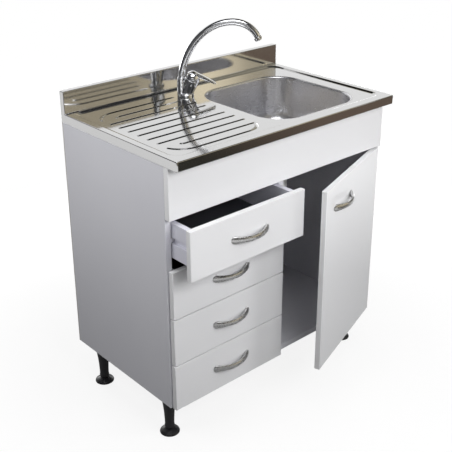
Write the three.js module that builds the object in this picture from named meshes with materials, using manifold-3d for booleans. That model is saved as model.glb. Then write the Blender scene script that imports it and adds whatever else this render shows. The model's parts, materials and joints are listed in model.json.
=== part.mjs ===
// Kitchen sink unit: a stainless drainer sink with its mixer tap and waste, on an 800 mm base
// cabinet with four drawers, one hinged door and four levelling legs. Millimetres, +Z up.
// It stands as in use: the top drawer a little pulled out and the door ajar.
import * as THREE from "three";
import { mergeVertices } from "three/addons/utils/BufferGeometryUtils.js";
import Module from "manifold-3d";

const wasm = await Module();
wasm.setup();

// ---------------------------------------------------------------- driving dimensions

// Clearances
const SEAT_GAP = 0.3; // between pieces that sit on or in each other
const RUNNING_GAP = 0.5; // between a drawer side and its runner

// Worktop
const TOP_WIDTH = 800;
const TOP_DEPTH = 500;
const TOP_HEIGHT = 850; // floor to worktop
const SHEET = 1.2; // stainless sheet
const SKIRT = 26; // folded edge of the worktop
const RETURN_FOLD = 22; // flange folded in under the skirt
const SPLASH_HEIGHT = 63;
const SPLASH_THICKNESS = 20;
const RIM_SIDE = 18; // flat rim round the sunk field
const RIM_FRONT = 28;
const RIM_BACK = 3; // between the sunk field and the splashback
const FIELD_DEPTH = 4; // how far the field is pressed down
const FIELD_SLOPE = 10; // width of the sloping edge of the field
const FIELD_CORNER = 34;

// Bowl
const BOWL_WIDTH = 350;
const BOWL_LENGTH = 356;
const BOWL_DEPTH = 150;
const BOWL_CORNER = 90;
const BOWL_X = 156; // bowl centre from the worktop's middle
const BOWL_Y = -23;
const BOWL_DRAFT = 14; // how far the walls lean in
const BOWL_LIP = 6; // rounded edge at the top
const BOWL_FLOOR_RADIUS = 46;

// Drainer
const RIB_COUNT = 10;
const RIB_PITCH = 40;
const RIB_WIDTH = 9;
const RIB_CREST = 4;
const RIB_HEIGHT = 2;
const DRAINER_LEFT = 48; // from the worktop's left edge to the ends of the ribs
const DRAINER_LENGTH = 296;
const DRAINER_FRONT = 58; // from the worktop's front edge to the first rib
const DRAINER_CORNER = 60; // the outer ribs turn round this corner
const OUTER_RIB_TURN = 75; // degrees
const SECOND_RIB_TURN = 50;
const RIB_TO_TAP = 16;

// Waste and trap
const WASTE_HOLE = 88; // diameter
const WASTE_FLANGE = 112; // diameter
const WASTE_CUP_DEPTH = 38;
const WASTE_WALL = 2;
const TAIL_BORE = 38; // diameter
const TAIL_LENGTH = 35;
const WASTE_NUT_HEIGHT = 12;
const WASTE_NUT_WALL = 11;
const BASKET_DEPTH = 28;
const BASKET_WALL = 1.6;
const BASKET_HOLES = 8;
const BASKET_HOLE = 6; // diameter
const LEDGE_DEPTH = 6; // the basket's rim hangs on this ledge
const BOTTLE_RADIUS = 33;
const BOTTLE_HEIGHT = 84;
const SOCKET_LENGTH = 34;
const TRAP_WALL = 3;
const OUTLET_PIPE = 40; // outside diameter of the trap's branch
const OUTLET_DROP = 18; // branch centre below the bottle's shoulder
const BRANCH_LENGTH = 74;
const PIPE_IN_BRANCH = 28;
const PIPE_WALL = 2;

// Mixer tap
const TAP_X = -36;
const TAP_Y = 160;
const TAP_BEARING = -42; // degrees from +X: the spout points at the bowl
const TAP_BASE_RADIUS = 23;
const TAP_BASE_HEIGHT = 7;
const HOUSING_LEAN = 21; // degrees from upright, towards the bowl
const HOUSING_FOOT_RADIUS = 17;
const HOUSING_TOP_RADIUS = 21.5;
const HOUSING_LENGTH = 49;
const SPINDLE_RADIUS = 9; // of the dome, in the housing
const SPINDLE_DEPTH = 16;
const LEVER_RADIUS = 22; // ball-shaped hub of the lever
const LEVER_RISE = 5; // middle of the ball above the housing
const LEVER_SHELL = 2.6;
const LEVER_REACH = 68;
const LEVER_TIP_HEIGHT = 12.5; // above the middle of the ball
const LEVER_ROOT_WIDTH = 33;
const LEVER_TIP_WIDTH = 23;
const LEVER_BLADE = 5;
const LEVER_LIFT = 25; // degrees
const LEVER_FOOT_GAP = 0.8; // hub over the housing
const LEVER_BACK_CUT = 2.5; // back edge of the raised lever, above the middle of the ball
const DOME_GAP = 0.5;
const LEVER_PIN_RADIUS = 2.4;
const SPOUT_BACK = 14; // spout axis behind the middle of the base
const SPOUT_SOCKET_RADIUS = 11.2;
const SPOUT_SOCKET_HEIGHT = 44;
const SPOUT_ROOM = 1.2; // cut out of the housing round the swivelling spout
const SPOUT_SPIGOT_RADIUS = 8.2;
const SPOUT_SPIGOT_DEPTH = 14;
const SPOUT_COLLAR_HEIGHT = 9;
const SPOUT_TUBE = 20; // outside diameter
const SPOUT_BORE = 15;
const SPOUT_APEX = 213; // height of the tube's middle above the deck
const SPOUT_RISE_REACH = 147; // axis to apex
const SPOUT_RISE_START = 25; // height where the rising curve is upright
const SPOUT_FALL_REACH = 75; // apex to where the fall would be upright
const SPOUT_FALL_HEIGHT = 60;
const SPOUT_FALL_TURN = 72; // degrees of the fall that the tube makes
const AERATOR_RADIUS = 11.2;
const AERATOR_BORE = 16; // diameter
const AERATOR_LENGTH = 11;
const TAP_HOLE = 35; // diameter
const SHANK_RADIUS = 16;
const SHANK_LENGTH = 52;
const FIXING_NUT_RADIUS = 27;
const FIXING_NUT_HEIGHT = 9;

// Carcass
const BOARD = 18;
const CARCASS_SIDE_INSET = 1; // the skirt stands proud of the side panels
const CARCASS_BOTTOM = 130; // floor to the underside
const BACK_BOARD = 4;
const CARCASS_BACK_INSET = 1;
const FRONT_PLANE_INSET = 35; // faces of the fronts behind the worktop's edge
const FRONT_BOARD = 16;
const FRONT_STANDOFF = 2.2; // gap between a closed front and the carcass edge
const FRONT_EDGE_RADIUS = 2;
const FRONT_SIDE_REVEAL = 5;
const FRONT_GAP = 3; // between drawer fronts and door
const DRAWER_GAP = 4;
const DRAWER_COUNT = 4;
const FRONT_RAIL_DEPTH = 66;
const BOWL_TO_RAIL = 2.8; // front rail below the bowl
const RAIL_TO_DRAWER = 4; // front rail above the top drawer box
const REAR_RAIL_HEIGHT = 100;
const PIPE_HOLE_CLEARANCE = 4;

// Legs
const LEG_SIDE_INSET = 39;
const LEG_END_INSET = 60;
const LEG_TOP_RADIUS = 22.5;
const LEG_FOOT_RADIUS = 13;
const LEG_SOCKET_DEPTH = 46;
const FOOT_RADIUS = 28;
const FOOT_HEIGHT = 14;
const FOOT_EDGE = 3;
const STUD_RADIUS = 5;
const STUD_LENGTH = 40;
const LEG_TO_FOOT = 1.6;

// Drawers
const TOP_DRAWER_OPEN = 72;
const BOX_SIDE_GAP = 2; // drawer side to cabinet wall
const BOX_BOARD = 15;
const BOX_ABOVE_FRONT_FOOT = 29; // drawer box above its front's lower edge
const BOX_BELOW_FRONT_TOP = 10;
const BOX_TO_BACK = 39.4; // closed drawer box to the back panel
const GROOVE_HEIGHT = 17;
const GROOVE_DEPTH = 9;
const RUNNER_TO_BACK = 45.2; // runner's end to the back panel
const BOTTOM_BOARD = 3.2;
const BOTTOM_ABOVE_EDGE = 8;
const BOTTOM_GROOVE = 5; // depth

// Door hinges
const HINGE_CUP_RADIUS = 17.5;
const HINGE_CUP_EDGE = 3; // from the door's edge to the cup
const HINGE_CUP_DEPTH = 14.2;
const HINGE_CUP_WALL = 1;
const HINGE_PIN_EDGE = 8; // pin from the door's edge
const HINGE_PIN_DEPTH = 10.7; // pin from the door's back face
const HINGE_PIN_RADIUS = 1.2;
const HINGE_EYE_RADIUS = 2.2;
const HINGE_EYE_WIDTH = 11;
const HINGE_ARM_SHEET = 2.2;
const HINGE_NECK_OFFSET = 18; // neck inward of the pin
const HINGE_FROM_END = 95;
const HINGE_FLANGE = 48;
const HINGE_FLANGE_SHEET = 1.2;
const HINGE_PLATE = 2;
const HINGE_PLATE_HEIGHT = 46;
const HINGE_PLATE_LENGTH = 54;
const HINGE_PLATE_SETBACK = 30;
const HINGE_BLOCK_HEIGHT = 18;
const DOOR_OPEN = 19.4; // degrees

// Handles
const HANDLE_LENGTH = 144;
const HANDLE_REACH = 27;
const HANDLE_END_WIDTH = 24;
const HANDLE_WAIST = 15;
const HANDLE_THICKNESS = 8;
const HANDLE_RISE = 2; // above the middle of a drawer front
const DOOR_HANDLE_DROP = 68; // below the door's top edge
const DOOR_HANDLE_INSET = 118; // handle's middle from the door's free edge

// Smoothness
const ROUND_STEPS = 24; // sides of a full round
const WASTE_STEPS = 32; // sides of the waste and the trap
const CORNER_STEPS = 7; // steps in a bowl corner

// ---------------------------------------------------------------- worked-out places

const TOP_RIGHT = TOP_WIDTH / 2;
const TOP_BACK = TOP_DEPTH / 2;
const SKIRT_BOTTOM = TOP_HEIGHT - SKIRT;
const FIELD_Z = TOP_HEIGHT - FIELD_DEPTH;
const BOWL_FLOOR_Z = FIELD_Z - BOWL_DEPTH;
const SPLASH_FRONT = TOP_BACK - SPLASH_THICKNESS;

const CARCASS_RIGHT = TOP_RIGHT - CARCASS_SIDE_INSET;
const CARCASS_INNER = CARCASS_RIGHT - BOARD;
const CARCASS_TOP = SKIRT_BOTTOM - SEAT_GAP;
const FRONT_FACE_Y = -TOP_BACK + FRONT_PLANE_INSET;
const FRONT_REAR_Y = FRONT_FACE_Y + FRONT_BOARD;
const CARCASS_FRONT = FRONT_REAR_Y + FRONT_STANDOFF;
const CARCASS_BACK = TOP_BACK - CARCASS_BACK_INSET;
const PANEL_BACK = CARCASS_BACK - BACK_BOARD - SEAT_GAP;
const DIVIDER_HALF = BOARD / 2;

const FRONT_RIGHT = CARCASS_RIGHT - FRONT_SIDE_REVEAL;
const FRONT_WIDTH = FRONT_RIGHT - FRONT_GAP / 2;
const BOTTOM_TOP = CARCASS_BOTTOM + BOARD;

// The front rail passes under the bowl, and the fronts share the height below it.
const RAIL_BOTTOM = BOWL_FLOOR_Z - SHEET - BOWL_TO_RAIL - FRONT_BOARD;
const FRONTS_TOP = RAIL_BOTTOM - RAIL_TO_DRAWER + BOX_BELOW_FRONT_TOP;
const FASCIA_BOTTOM = FRONTS_TOP + DRAWER_GAP;
const DOOR_HEIGHT = FRONTS_TOP - CARCASS_BOTTOM;
const DRAWER_PITCH = (DOOR_HEIGHT + DRAWER_GAP) / DRAWER_COUNT;
const DRAWER_FRONT_HEIGHT = DRAWER_PITCH - DRAWER_GAP;
const BOX_HEIGHT = DRAWER_FRONT_HEIGHT - BOX_BELOW_FRONT_TOP - BOX_ABOVE_FRONT_FOOT;

const WASTE_Z = BOWL_FLOOR_Z; // the waste hangs from the bowl's floor
const TAIL_END_Z = WASTE_Z - WASTE_CUP_DEPTH - WASTE_WALL - TAIL_LENGTH;
const BOTTLE_TOP_Z = TAIL_END_Z - WASTE_WALL;
const OUTLET_Z = BOTTLE_TOP_Z - OUTLET_DROP;

// ---------------------------------------------------------------- solid helpers

/** A closed geometry as a manifold solid, with its faces turned outwards. */
function solid(geometry, matrix) {
  const placed = geometry.index ? geometry.toNonIndexed() : geometry.clone();
  if (matrix) placed.applyMatrix4(matrix);
  const bare = new THREE.BufferGeometry();
  bare.setAttribute("position", placed.getAttribute("position"));
  const merged = mergeVertices(bare, 1e-4);
  const faces = [];
  const index = merged.index.array;
  for (let i = 0; i < index.length; i += 3) {
    const [a, b, c] = [index[i], index[i + 1], index[i + 2]];
    if (a !== b && b !== c && a !== c) faces.push(a, b, c);
  }
  const build = (triVerts) =>
    new wasm.Manifold(
      new wasm.Mesh({
        numProp: 3,
        vertProperties: merged.attributes.position.array,
        triVerts: new Uint32Array(triVerts),
      }),
    );
  const made = build(faces);
  if (made.volume() >= 0) return made;
  for (let i = 0; i < faces.length; i += 3) {
    [faces[i + 1], faces[i + 2]] = [faces[i + 2], faces[i + 1]];
  }
  return build(faces);
}

/** A manifold solid as a geometry that three.js can show. */
function geometryOf(made) {
  const mesh = made.getMesh();
  const geometry = new THREE.BufferGeometry();
  const points = new Float32Array(mesh.numVert * 3);
  for (let i = 0; i < mesh.numVert; i++) {
    points.set(mesh.vertProperties.subarray(i * mesh.numProp, i * mesh.numProp + 3), i * 3);
  }
  geometry.setAttribute("position", new THREE.BufferAttribute(points, 3));
  geometry.setIndex(new THREE.BufferAttribute(mesh.triVerts, 1));
  const flat = geometry.toNonIndexed();
  flat.computeVertexNormals();
  return flat;
}

function join(...solids) {
  return solids.reduce((sum, next) => sum.add(next));
}

function cut(base, ...tools) {
  return tools.reduce((left, tool) => left.subtract(tool), base);
}

/** A box between two corners. */
function block([x0, x1], [y0, y1], [z0, z1]) {
  const box = new THREE.BoxGeometry(x1 - x0, y1 - y0, z1 - z0);
  return solid(box.translate((x0 + x1) / 2, (y0 + y1) / 2, (z0 + z1) / 2));
}

/** A round bar along +Z from z0 to z1, with its axis at x, y. */
function bar(radius, x, y, z0, z1, sides = ROUND_STEPS) {
  const cylinder = new THREE.CylinderGeometry(radius, radius, z1 - z0, sides);
  return solid(cylinder.rotateX(Math.PI / 2).translate(x, y, (z0 + z1) / 2));
}

/** A round bar along +Y. */
function barAlongY(radius, x, z, y0, y1, sides = ROUND_STEPS) {
  const cylinder = new THREE.CylinderGeometry(radius, radius, y1 - y0, sides);
  return solid(cylinder.translate(x, (y0 + y1) / 2, z));
}

/** A turned piece: [radius, height] points, from axis to axis or closed on themselves. */
function turned(profile, sides = ROUND_STEPS) {
  const points = profile.map(([radius, height]) => new THREE.Vector2(radius, height));
  return solid(new THREE.LatheGeometry(points, sides).rotateX(Math.PI / 2));
}

function closed(profile) {
  return [...profile, profile[0]];
}

/** Triangles that close a flat ring of points, each running the same way round as the ring. */
function capOf(ring) {
  const normal = new THREE.Vector3();
  ring.forEach((p, i) => {
    const next = ring[(i + 1) % ring.length];
    normal.add(new THREE.Vector3().crossVectors(p.clone().sub(ring[0]), next.clone().sub(ring[0])));
  });
  const size = ["x", "y", "z"].map((axis) => Math.abs(normal[axis]));
  const dropped = size.indexOf(Math.max(...size));
  const [u, v] = [["y", "z"], ["z", "x"], ["x", "y"]][dropped];
  const contour = ring.map((p) => new THREE.Vector2(p[u], p[v]));
  return THREE.ShapeUtils.triangulateShape(contour, []).map((face) => face.sort((a, b) => a - b));
}

/** A solid through a row of rings that all have the same number of points. */
function loft(rings) {
  const count = rings[0].length;
  const points = rings.flat().flatMap((p) => [p.x, p.y, p.z]);
  const faces = [];
  for (let k = 0; k + 1 < rings.length; k++) {
    for (let i = 0; i < count; i++) {
      const [a, b] = [k * count + i, k * count + ((i + 1) % count)];
      faces.push(a, b, b + count, a, b + count, a + count);
    }
  }
  const last = (rings.length - 1) * count;
  for (const [a, b, c] of capOf(rings[0])) faces.push(a, c, b);
  for (const [a, b, c] of capOf(rings[rings.length - 1])) faces.push(last + a, last + b, last + c);
  const geometry = new THREE.BufferGeometry();
  geometry.setAttribute("position", new THREE.Float32BufferAttribute(points, 3));
  geometry.setIndex(faces);
  return solid(geometry);
}

/** A rounded rectangle as a ring of points at one height. */
function roundedRing(cx, cy, halfX, halfY, radius, z, steps = CORNER_STEPS) {
  const ring = [];
  const corners = [[1, 1, 0], [-1, 1, 90], [-1, -1, 180], [1, -1, 270]];
  for (const [sx, sy, start] of corners) {
    for (let i = 0; i <= steps; i++) {
      const angle = THREE.MathUtils.degToRad(start + (90 * i) / steps);
      ring.push(
        new THREE.Vector3(
          cx + sx * (halfX - radius) + radius * Math.cos(angle),
          cy + sy * (halfY - radius) + radius * Math.sin(angle),
          z,
        ),
      );
    }
  }
  return ring;
}

const materials = {
  stainless: new THREE.MeshStandardMaterial({ color: 0xc9c9c4, roughness: 0.22, metalness: 1 }),
  chrome: new THREE.MeshStandardMaterial({ color: 0xe4e6e8, roughness: 0.06, metalness: 1 }),
  nickel: new THREE.MeshStandardMaterial({ color: 0xb4b3b0, roughness: 0.32, metalness: 1 }),
  frontWhite: new THREE.MeshStandardMaterial({ color: 0xf0f0f2, roughness: 0.16 }),
  boardWhite: new THREE.MeshStandardMaterial({ color: 0xdfe0e6, roughness: 0.42 }),
  hardboard: new THREE.MeshStandardMaterial({ color: 0xe2e0da, roughness: 0.6 }),
  drawerWhite: new THREE.MeshStandardMaterial({ color: 0xdcdce8, roughness: 0.4 }),
  runnerPlastic: new THREE.MeshStandardMaterial({ color: 0xe8e8ea, roughness: 0.45 }),
  blackPlastic: new THREE.MeshStandardMaterial({ color: 0x1c1c1e, roughness: 0.4 }),
  whitePlastic: new THREE.MeshStandardMaterial({ color: 0xe9e9e6, roughness: 0.38 }),
  zincSteel: new THREE.MeshStandardMaterial({ color: 0xb9bdc2, roughness: 0.34, metalness: 1 }),
};

const unit = new THREE.Group();

/** Adds a named piece to a group. */
function place(group, name, made, material) {
  const mesh = new THREE.Mesh(geometryOf(made), material);
  mesh.name = name;
  group.add(mesh);
  return mesh;
}

// ---------------------------------------------------------------- sink top

/** The pressed field, grown by the sheet for its underside. */
function fieldSolid(grow) {
  const left = -TOP_RIGHT + RIM_SIDE;
  const right = TOP_RIGHT - RIM_SIDE;
  const front = -TOP_BACK + RIM_FRONT;
  const back = SPLASH_FRONT - RIM_BACK;
  const ring = (inset, z) =>
    roundedRing(
      (left + right) / 2,
      (front + back) / 2,
      (right - left) / 2 - inset + grow,
      (back - front) / 2 - inset + grow,
      FIELD_CORNER - inset / 2 + grow,
      z,
      4,
    );
  const over = FIELD_DEPTH / 4; // the same slope carried past the face
  const overSlope = FIELD_SLOPE / 4;
  return loft([ring(FIELD_SLOPE, FIELD_Z - grow), ring(-overSlope, TOP_HEIGHT + over - grow)]);
}

/** The bowl, grown by the sheet for its outside. */
function bowlSolid(grow, topZ) {
  const ring = (inset, z) =>
    roundedRing(
      BOWL_X,
      BOWL_Y,
      BOWL_WIDTH / 2 - BOWL_LIP - inset + grow,
      BOWL_LENGTH / 2 - BOWL_LIP - inset + grow,
      BOWL_CORNER - BOWL_LIP - inset + grow,
      z,
    );
  const rings = [];
  const floorSteps = 4;
  for (let i = 0; i <= floorSteps; i++) {
    const angle = (Math.PI / 2) * (i / floorSteps);
    const inset = BOWL_DRAFT + BOWL_FLOOR_RADIUS * (1 - Math.sin(angle));
    rings.push(ring(inset, BOWL_FLOOR_Z - grow + BOWL_FLOOR_RADIUS * (1 - Math.cos(angle))));
  }
  rings.push(ring(0, FIELD_Z - BOWL_LIP - grow));
  rings.push(ring(-BOWL_LIP * 0.3, FIELD_Z - BOWL_LIP * 0.3 - grow));
  rings.push(ring(-BOWL_LIP, FIELD_Z));
  if (topZ > FIELD_Z) rings.push(ring(-BOWL_LIP, topZ));
  return loft(rings);
}

/** The outline of a rib that follows a path, as a ring with rounded ends. */
function ribRing(path, halfWidth, z) {
  const side = (sign) =>
    path.map((p, i) => {
      const before = path[Math.max(i - 1, 0)];
      const after = path[Math.min(i + 1, path.length - 1)];
      const along = new THREE.Vector2().subVectors(after, before).normalize();
      return new THREE.Vector3(p.x - sign * along.y * halfWidth, p.y + sign * along.x * halfWidth, z);
    });
  const nose = (end, inner) => {
    const along = new THREE.Vector2().subVectors(end, inner).normalize();
    return new THREE.Vector3(end.x + along.x * halfWidth, end.y + along.y * halfWidth, z);
  };
  const lastPoint = path.length - 1;
  return [
    ...side(-1),
    nose(path[lastPoint], path[lastPoint - 1]),
    ...side(1).reverse(),
    nose(path[0], path[1]),
  ];
}

/** The path of one drainer rib; the outer ones turn round the drainer's corners. */
function ribPath(row) {
  const left = -TOP_RIGHT + DRAINER_LEFT;
  const y = -TOP_BACK + DRAINER_FRONT + row * RIB_PITCH;
  const nearTap = Math.abs(y - TAP_Y) < TAP_BASE_RADIUS + RIB_PITCH / 2;
  const right = nearTap ? TAP_X - TAP_BASE_RADIUS - RIB_TO_TAP : left + DRAINER_LENGTH;
  const fromFront = row;
  const fromBack = RIB_COUNT - 1 - row;
  const depthIn = Math.min(fromFront, fromBack);
  const turnDegrees = [OUTER_RIB_TURN, SECOND_RIB_TURN][depthIn];
  if (turnDegrees === undefined) return [new THREE.Vector2(left, y), new THREE.Vector2(right, y)];
  const radius = DRAINER_CORNER - depthIn * RIB_PITCH;
  const towardMiddle = fromFront < fromBack ? 1 : -1;
  const steps = 5;
  const arc = (edgeX, side) => {
    const points = [];
    for (let i = 0; i <= steps; i++) {
      const angle = THREE.MathUtils.degToRad((turnDegrees * i) / steps);
      const x = edgeX - side * (DRAINER_CORNER - radius * Math.sin(angle));
      points.push(new THREE.Vector2(x, y + towardMiddle * radius * (1 - Math.cos(angle))));
    }
    return points;
  };
  const leftArc = arc(left, -1).reverse();
  const rightEnd = nearTap || depthIn > 0 ? [new THREE.Vector2(right, y)] : arc(right, 1);
  return [...leftArc, ...rightEnd];
}

function makeSinkTop() {
  const slab = block([-TOP_RIGHT, TOP_RIGHT], [-TOP_BACK, TOP_BACK], [SKIRT_BOTTOM, TOP_HEIGHT]);
  const splash = block(
    [-TOP_RIGHT, TOP_RIGHT],
    [SPLASH_FRONT, TOP_BACK],
    [SKIRT_BOTTOM, TOP_HEIGHT + SPLASH_HEIGHT],
  );
  const insideX = [-TOP_RIGHT + SHEET, TOP_RIGHT - SHEET];
  const deckHollow = block(
    insideX,
    [-TOP_BACK + SHEET, TOP_BACK - SHEET],
    [SKIRT_BOTTOM + SHEET, TOP_HEIGHT - SHEET],
  );
  const splashHollow = block(
    insideX,
    [SPLASH_FRONT + SHEET, TOP_BACK - SHEET],
    [SKIRT_BOTTOM + SHEET, TOP_HEIGHT + SPLASH_HEIGHT - SHEET],
  );
  const mouth = block(
    [-TOP_RIGHT + RETURN_FOLD, TOP_RIGHT - RETURN_FOLD],
    [-TOP_BACK + RETURN_FOLD, TOP_BACK - RETURN_FOLD],
    [SKIRT_BOTTOM - SHEET, SKIRT_BOTTOM + 2 * SHEET],
  );
  const hollow = cut(join(deckHollow, splashHollow, mouth), fieldSolid(SHEET));
  const sheet = cut(
    join(slab, splash),
    hollow,
    fieldSolid(0),
    bowlSolid(SHEET + SEAT_GAP, FIELD_Z + SHEET),
    bar(TAP_HOLE / 2, TAP_X, TAP_Y, FIELD_Z - 2 * SHEET, FIELD_Z + SHEET),
  );
  const ribs = Array.from({ length: RIB_COUNT }, (_, row) => {
    const path = ribPath(row);
    return loft([
      ribRing(path, RIB_WIDTH / 2, FIELD_Z - SHEET / 2),
      ribRing(path, RIB_CREST / 2, FIELD_Z + RIB_HEIGHT),
    ]);
  });
  place(unit, "sink_top", join(sheet, ...ribs), materials.stainless);

  // The bowl is a pressing of its own, welded in flush with the sunk field.
  const bowl = cut(
    bowlSolid(SHEET, FIELD_Z),
    bowlSolid(0, FIELD_Z + SHEET),
    bar(WASTE_HOLE / 2, BOWL_X, BOWL_Y, BOWL_FLOOR_Z - 2 * SHEET, BOWL_FLOOR_Z + SHEET, WASTE_STEPS),
  );
  place(unit, "sink_bowl", bowl, materials.stainless);
}

// ---------------------------------------------------------------- waste and trap

function makeWaste() {
  const waste = new THREE.Group();
  waste.position.set(BOWL_X, BOWL_Y, WASTE_Z);
  unit.add(waste);

  const cupOuter = WASTE_HOLE / 2 - 1;
  const cupInner = cupOuter - WASTE_WALL;
  const ledgeInner = cupInner - 3;
  const tailInner = TAIL_BORE / 2;
  const tailOuter = tailInner + WASTE_WALL;
  const cupFloor = -WASTE_CUP_DEPTH;
  const flange = turned(
    closed([
      [tailInner, TAIL_END_Z - WASTE_Z],
      [tailOuter, TAIL_END_Z - WASTE_Z],
      [tailOuter, cupFloor - WASTE_WALL],
      [cupOuter, cupFloor - WASTE_WALL],
      [cupOuter, SEAT_GAP],
      [WASTE_FLANGE / 2, SEAT_GAP],
      [WASTE_FLANGE / 2 - 1, SEAT_GAP + 1],
      [cupInner, SEAT_GAP + 2],
      [cupInner, -LEDGE_DEPTH],
      [ledgeInner, -LEDGE_DEPTH],
      [ledgeInner, cupFloor],
      [tailInner, cupFloor],
    ]),
    WASTE_STEPS,
  );
  place(waste, "waste_flange", flange, materials.stainless);

  const nutTop = -SHEET - SEAT_GAP;
  const nutInner = cupOuter + SEAT_GAP;
  const nut = turned(
    closed([
      [nutInner, nutTop - WASTE_NUT_HEIGHT],
      [nutInner + WASTE_NUT_WALL, nutTop - WASTE_NUT_HEIGHT],
      [nutInner + WASTE_NUT_WALL, nutTop],
      [nutInner, nutTop],
    ]),
    WASTE_STEPS,
  );
  place(waste, "waste_nut", nut, materials.whitePlastic);

  const rimOuter = cupInner - SEAT_GAP;
  const wallOuter = ledgeInner - 1;
  const rimTop = -LEDGE_DEPTH + SEAT_GAP + BASKET_WALL;
  const basketFloor = rimTop - BASKET_DEPTH;
  const knobTop = rimTop + 4;
  const basketShape = turned([
    [0, basketFloor],
    [wallOuter, basketFloor],
    [wallOuter, -LEDGE_DEPTH + SEAT_GAP],
    [rimOuter, -LEDGE_DEPTH + SEAT_GAP],
    [rimOuter, rimTop],
    [wallOuter - BASKET_WALL, rimTop],
    [wallOuter - BASKET_WALL, basketFloor + BASKET_WALL],
    [4, basketFloor + BASKET_WALL],
    [4, knobTop - 7],
    [9, knobTop - 4],
    [9, knobTop],
    [0, knobTop],
  ], WASTE_STEPS);
  const holes = Array.from({ length: BASKET_HOLES }, (_, i) => {
    const angle = (2 * Math.PI * i) / BASKET_HOLES;
    const spread = wallOuter * 0.6;
    return bar(
      BASKET_HOLE / 2,
      spread * Math.cos(angle),
      spread * Math.sin(angle),
      basketFloor - 1,
      basketFloor + BASKET_WALL + 1,
      10,
    );
  });
  place(waste, "strainer_basket", cut(basketShape, ...holes), materials.stainless);
  makeTrap(tailOuter);
}

function makeTrap(tailOuter) {
  const trap = new THREE.Group();
  trap.position.set(BOWL_X, BOWL_Y, 0);
  unit.add(trap);
  const bottleBottom = BOTTLE_TOP_Z - BOTTLE_HEIGHT;
  const socketBore = tailOuter + SEAT_GAP;
  const socketOuter = socketBore + TRAP_WALL;
  const socketTop = TAIL_END_Z + SOCKET_LENGTH - WASTE_WALL;
  const shoulder = BOTTLE_RADIUS - socketOuter;
  const outside = turned([
    [0, bottleBottom],
    [BOTTLE_RADIUS - 6, bottleBottom],
    [BOTTLE_RADIUS, bottleBottom + 8],
    [BOTTLE_RADIUS, BOTTLE_TOP_Z - shoulder],
    [socketOuter, BOTTLE_TOP_Z],
    [socketOuter, socketTop],
    [0, socketTop],
  ], WASTE_STEPS);
  const inside = turned([
    [0, bottleBottom + TRAP_WALL],
    [BOTTLE_RADIUS - 6 - TRAP_WALL, bottleBottom + TRAP_WALL],
    [BOTTLE_RADIUS - TRAP_WALL, bottleBottom + 8],
    [BOTTLE_RADIUS - TRAP_WALL, BOTTLE_TOP_Z - shoulder - TRAP_WALL],
    [TAIL_BORE / 2, BOTTLE_TOP_Z - TRAP_WALL],
    [TAIL_BORE / 2, TAIL_END_Z - SEAT_GAP],
    [socketBore, TAIL_END_Z - SEAT_GAP],
    [socketBore, socketTop + 1],
    [0, socketTop + 1],
  ], WASTE_STEPS);
  const branchBore = OUTLET_PIPE / 2 - TRAP_WALL;
  const branch = barAlongY(OUTLET_PIPE / 2, 0, OUTLET_Z, 0, BRANCH_LENGTH);
  const branchHole = barAlongY(branchBore, 0, OUTLET_Z, 0, BRANCH_LENGTH + 1);
  const body = cut(join(outside, branch), inside, branchHole);
  place(trap, "trap_body", body, materials.whitePlastic);

  const pipeOuter = branchBore - SEAT_GAP;
  const pipeStart = BRANCH_LENGTH - PIPE_IN_BRANCH;
  const pipeEnd = CARCASS_BACK - BOWL_Y;
  const pipe = cut(
    barAlongY(pipeOuter, 0, OUTLET_Z, pipeStart, pipeEnd),
    barAlongY(pipeOuter - PIPE_WALL, 0, OUTLET_Z, pipeStart - 1, pipeEnd + 1),
  );
  place(trap, "trap_outlet_pipe", pipe, materials.whitePlastic);
}

// ---------------------------------------------------------------- mixer tap

/** Points of the spout's middle line, in the plane of the spout: x along the bearing. */
function spoutLine() {
  const points = [];
  const riseHeight = SPOUT_APEX - SPOUT_RISE_START;
  const firstTurn = Math.asin((SPOUT_SOCKET_HEIGHT + 3 - SPOUT_RISE_START) / riseHeight);
  const riseSteps = 11;
  for (let i = 0; i <= riseSteps; i++) {
    const angle = firstTurn + ((Math.PI / 2 - firstTurn) * i) / riseSteps;
    points.push(
      new THREE.Vector3(
        -SPOUT_BACK + SPOUT_RISE_REACH * (1 - Math.cos(angle)),
        0,
        SPOUT_RISE_START + riseHeight * Math.sin(angle),
      ),
    );
  }
  const fallSteps = 7;
  for (let i = 1; i <= fallSteps; i++) {
    const angle = THREE.MathUtils.degToRad((SPOUT_FALL_TURN * i) / fallSteps);
    points.push(
      new THREE.Vector3(
        -SPOUT_BACK + SPOUT_RISE_REACH + SPOUT_FALL_REACH * Math.sin(angle),
        0,
        SPOUT_APEX - SPOUT_FALL_HEIGHT * (1 - Math.cos(angle)),
      ),
    );
  }
  return points;
}

/** A round tube along a line in the XZ plane. */
function tubeAlong(points, radius, sides) {
  const rings = points.map((p, i) => {
    const before = points[Math.max(i - 1, 0)];
    const after = points[Math.min(i + 1, points.length - 1)];
    const along = new THREE.Vector3().subVectors(after, before).normalize();
    const across = new THREE.Vector3(0, 1, 0);
    const up = new THREE.Vector3().crossVectors(along, across);
    return Array.from({ length: sides }, (_, k) => {
      const angle = (2 * Math.PI * k) / sides;
      return p
        .clone()
        .addScaledVector(across, radius * Math.cos(angle))
        .addScaledVector(up, radius * Math.sin(angle));
    });
  });
  return loft(rings);
}

/** The line with both ends carried on straight by a little. */
function carriedOn(points, extra) {
  const last = points.length - 1;
  const start = new THREE.Vector3().subVectors(points[0], points[1]).setLength(extra);
  const end = new THREE.Vector3().subVectors(points[last], points[last - 1]).setLength(extra);
  return [points[0].clone().add(start), ...points, points[last].clone().add(end)];
}

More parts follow.
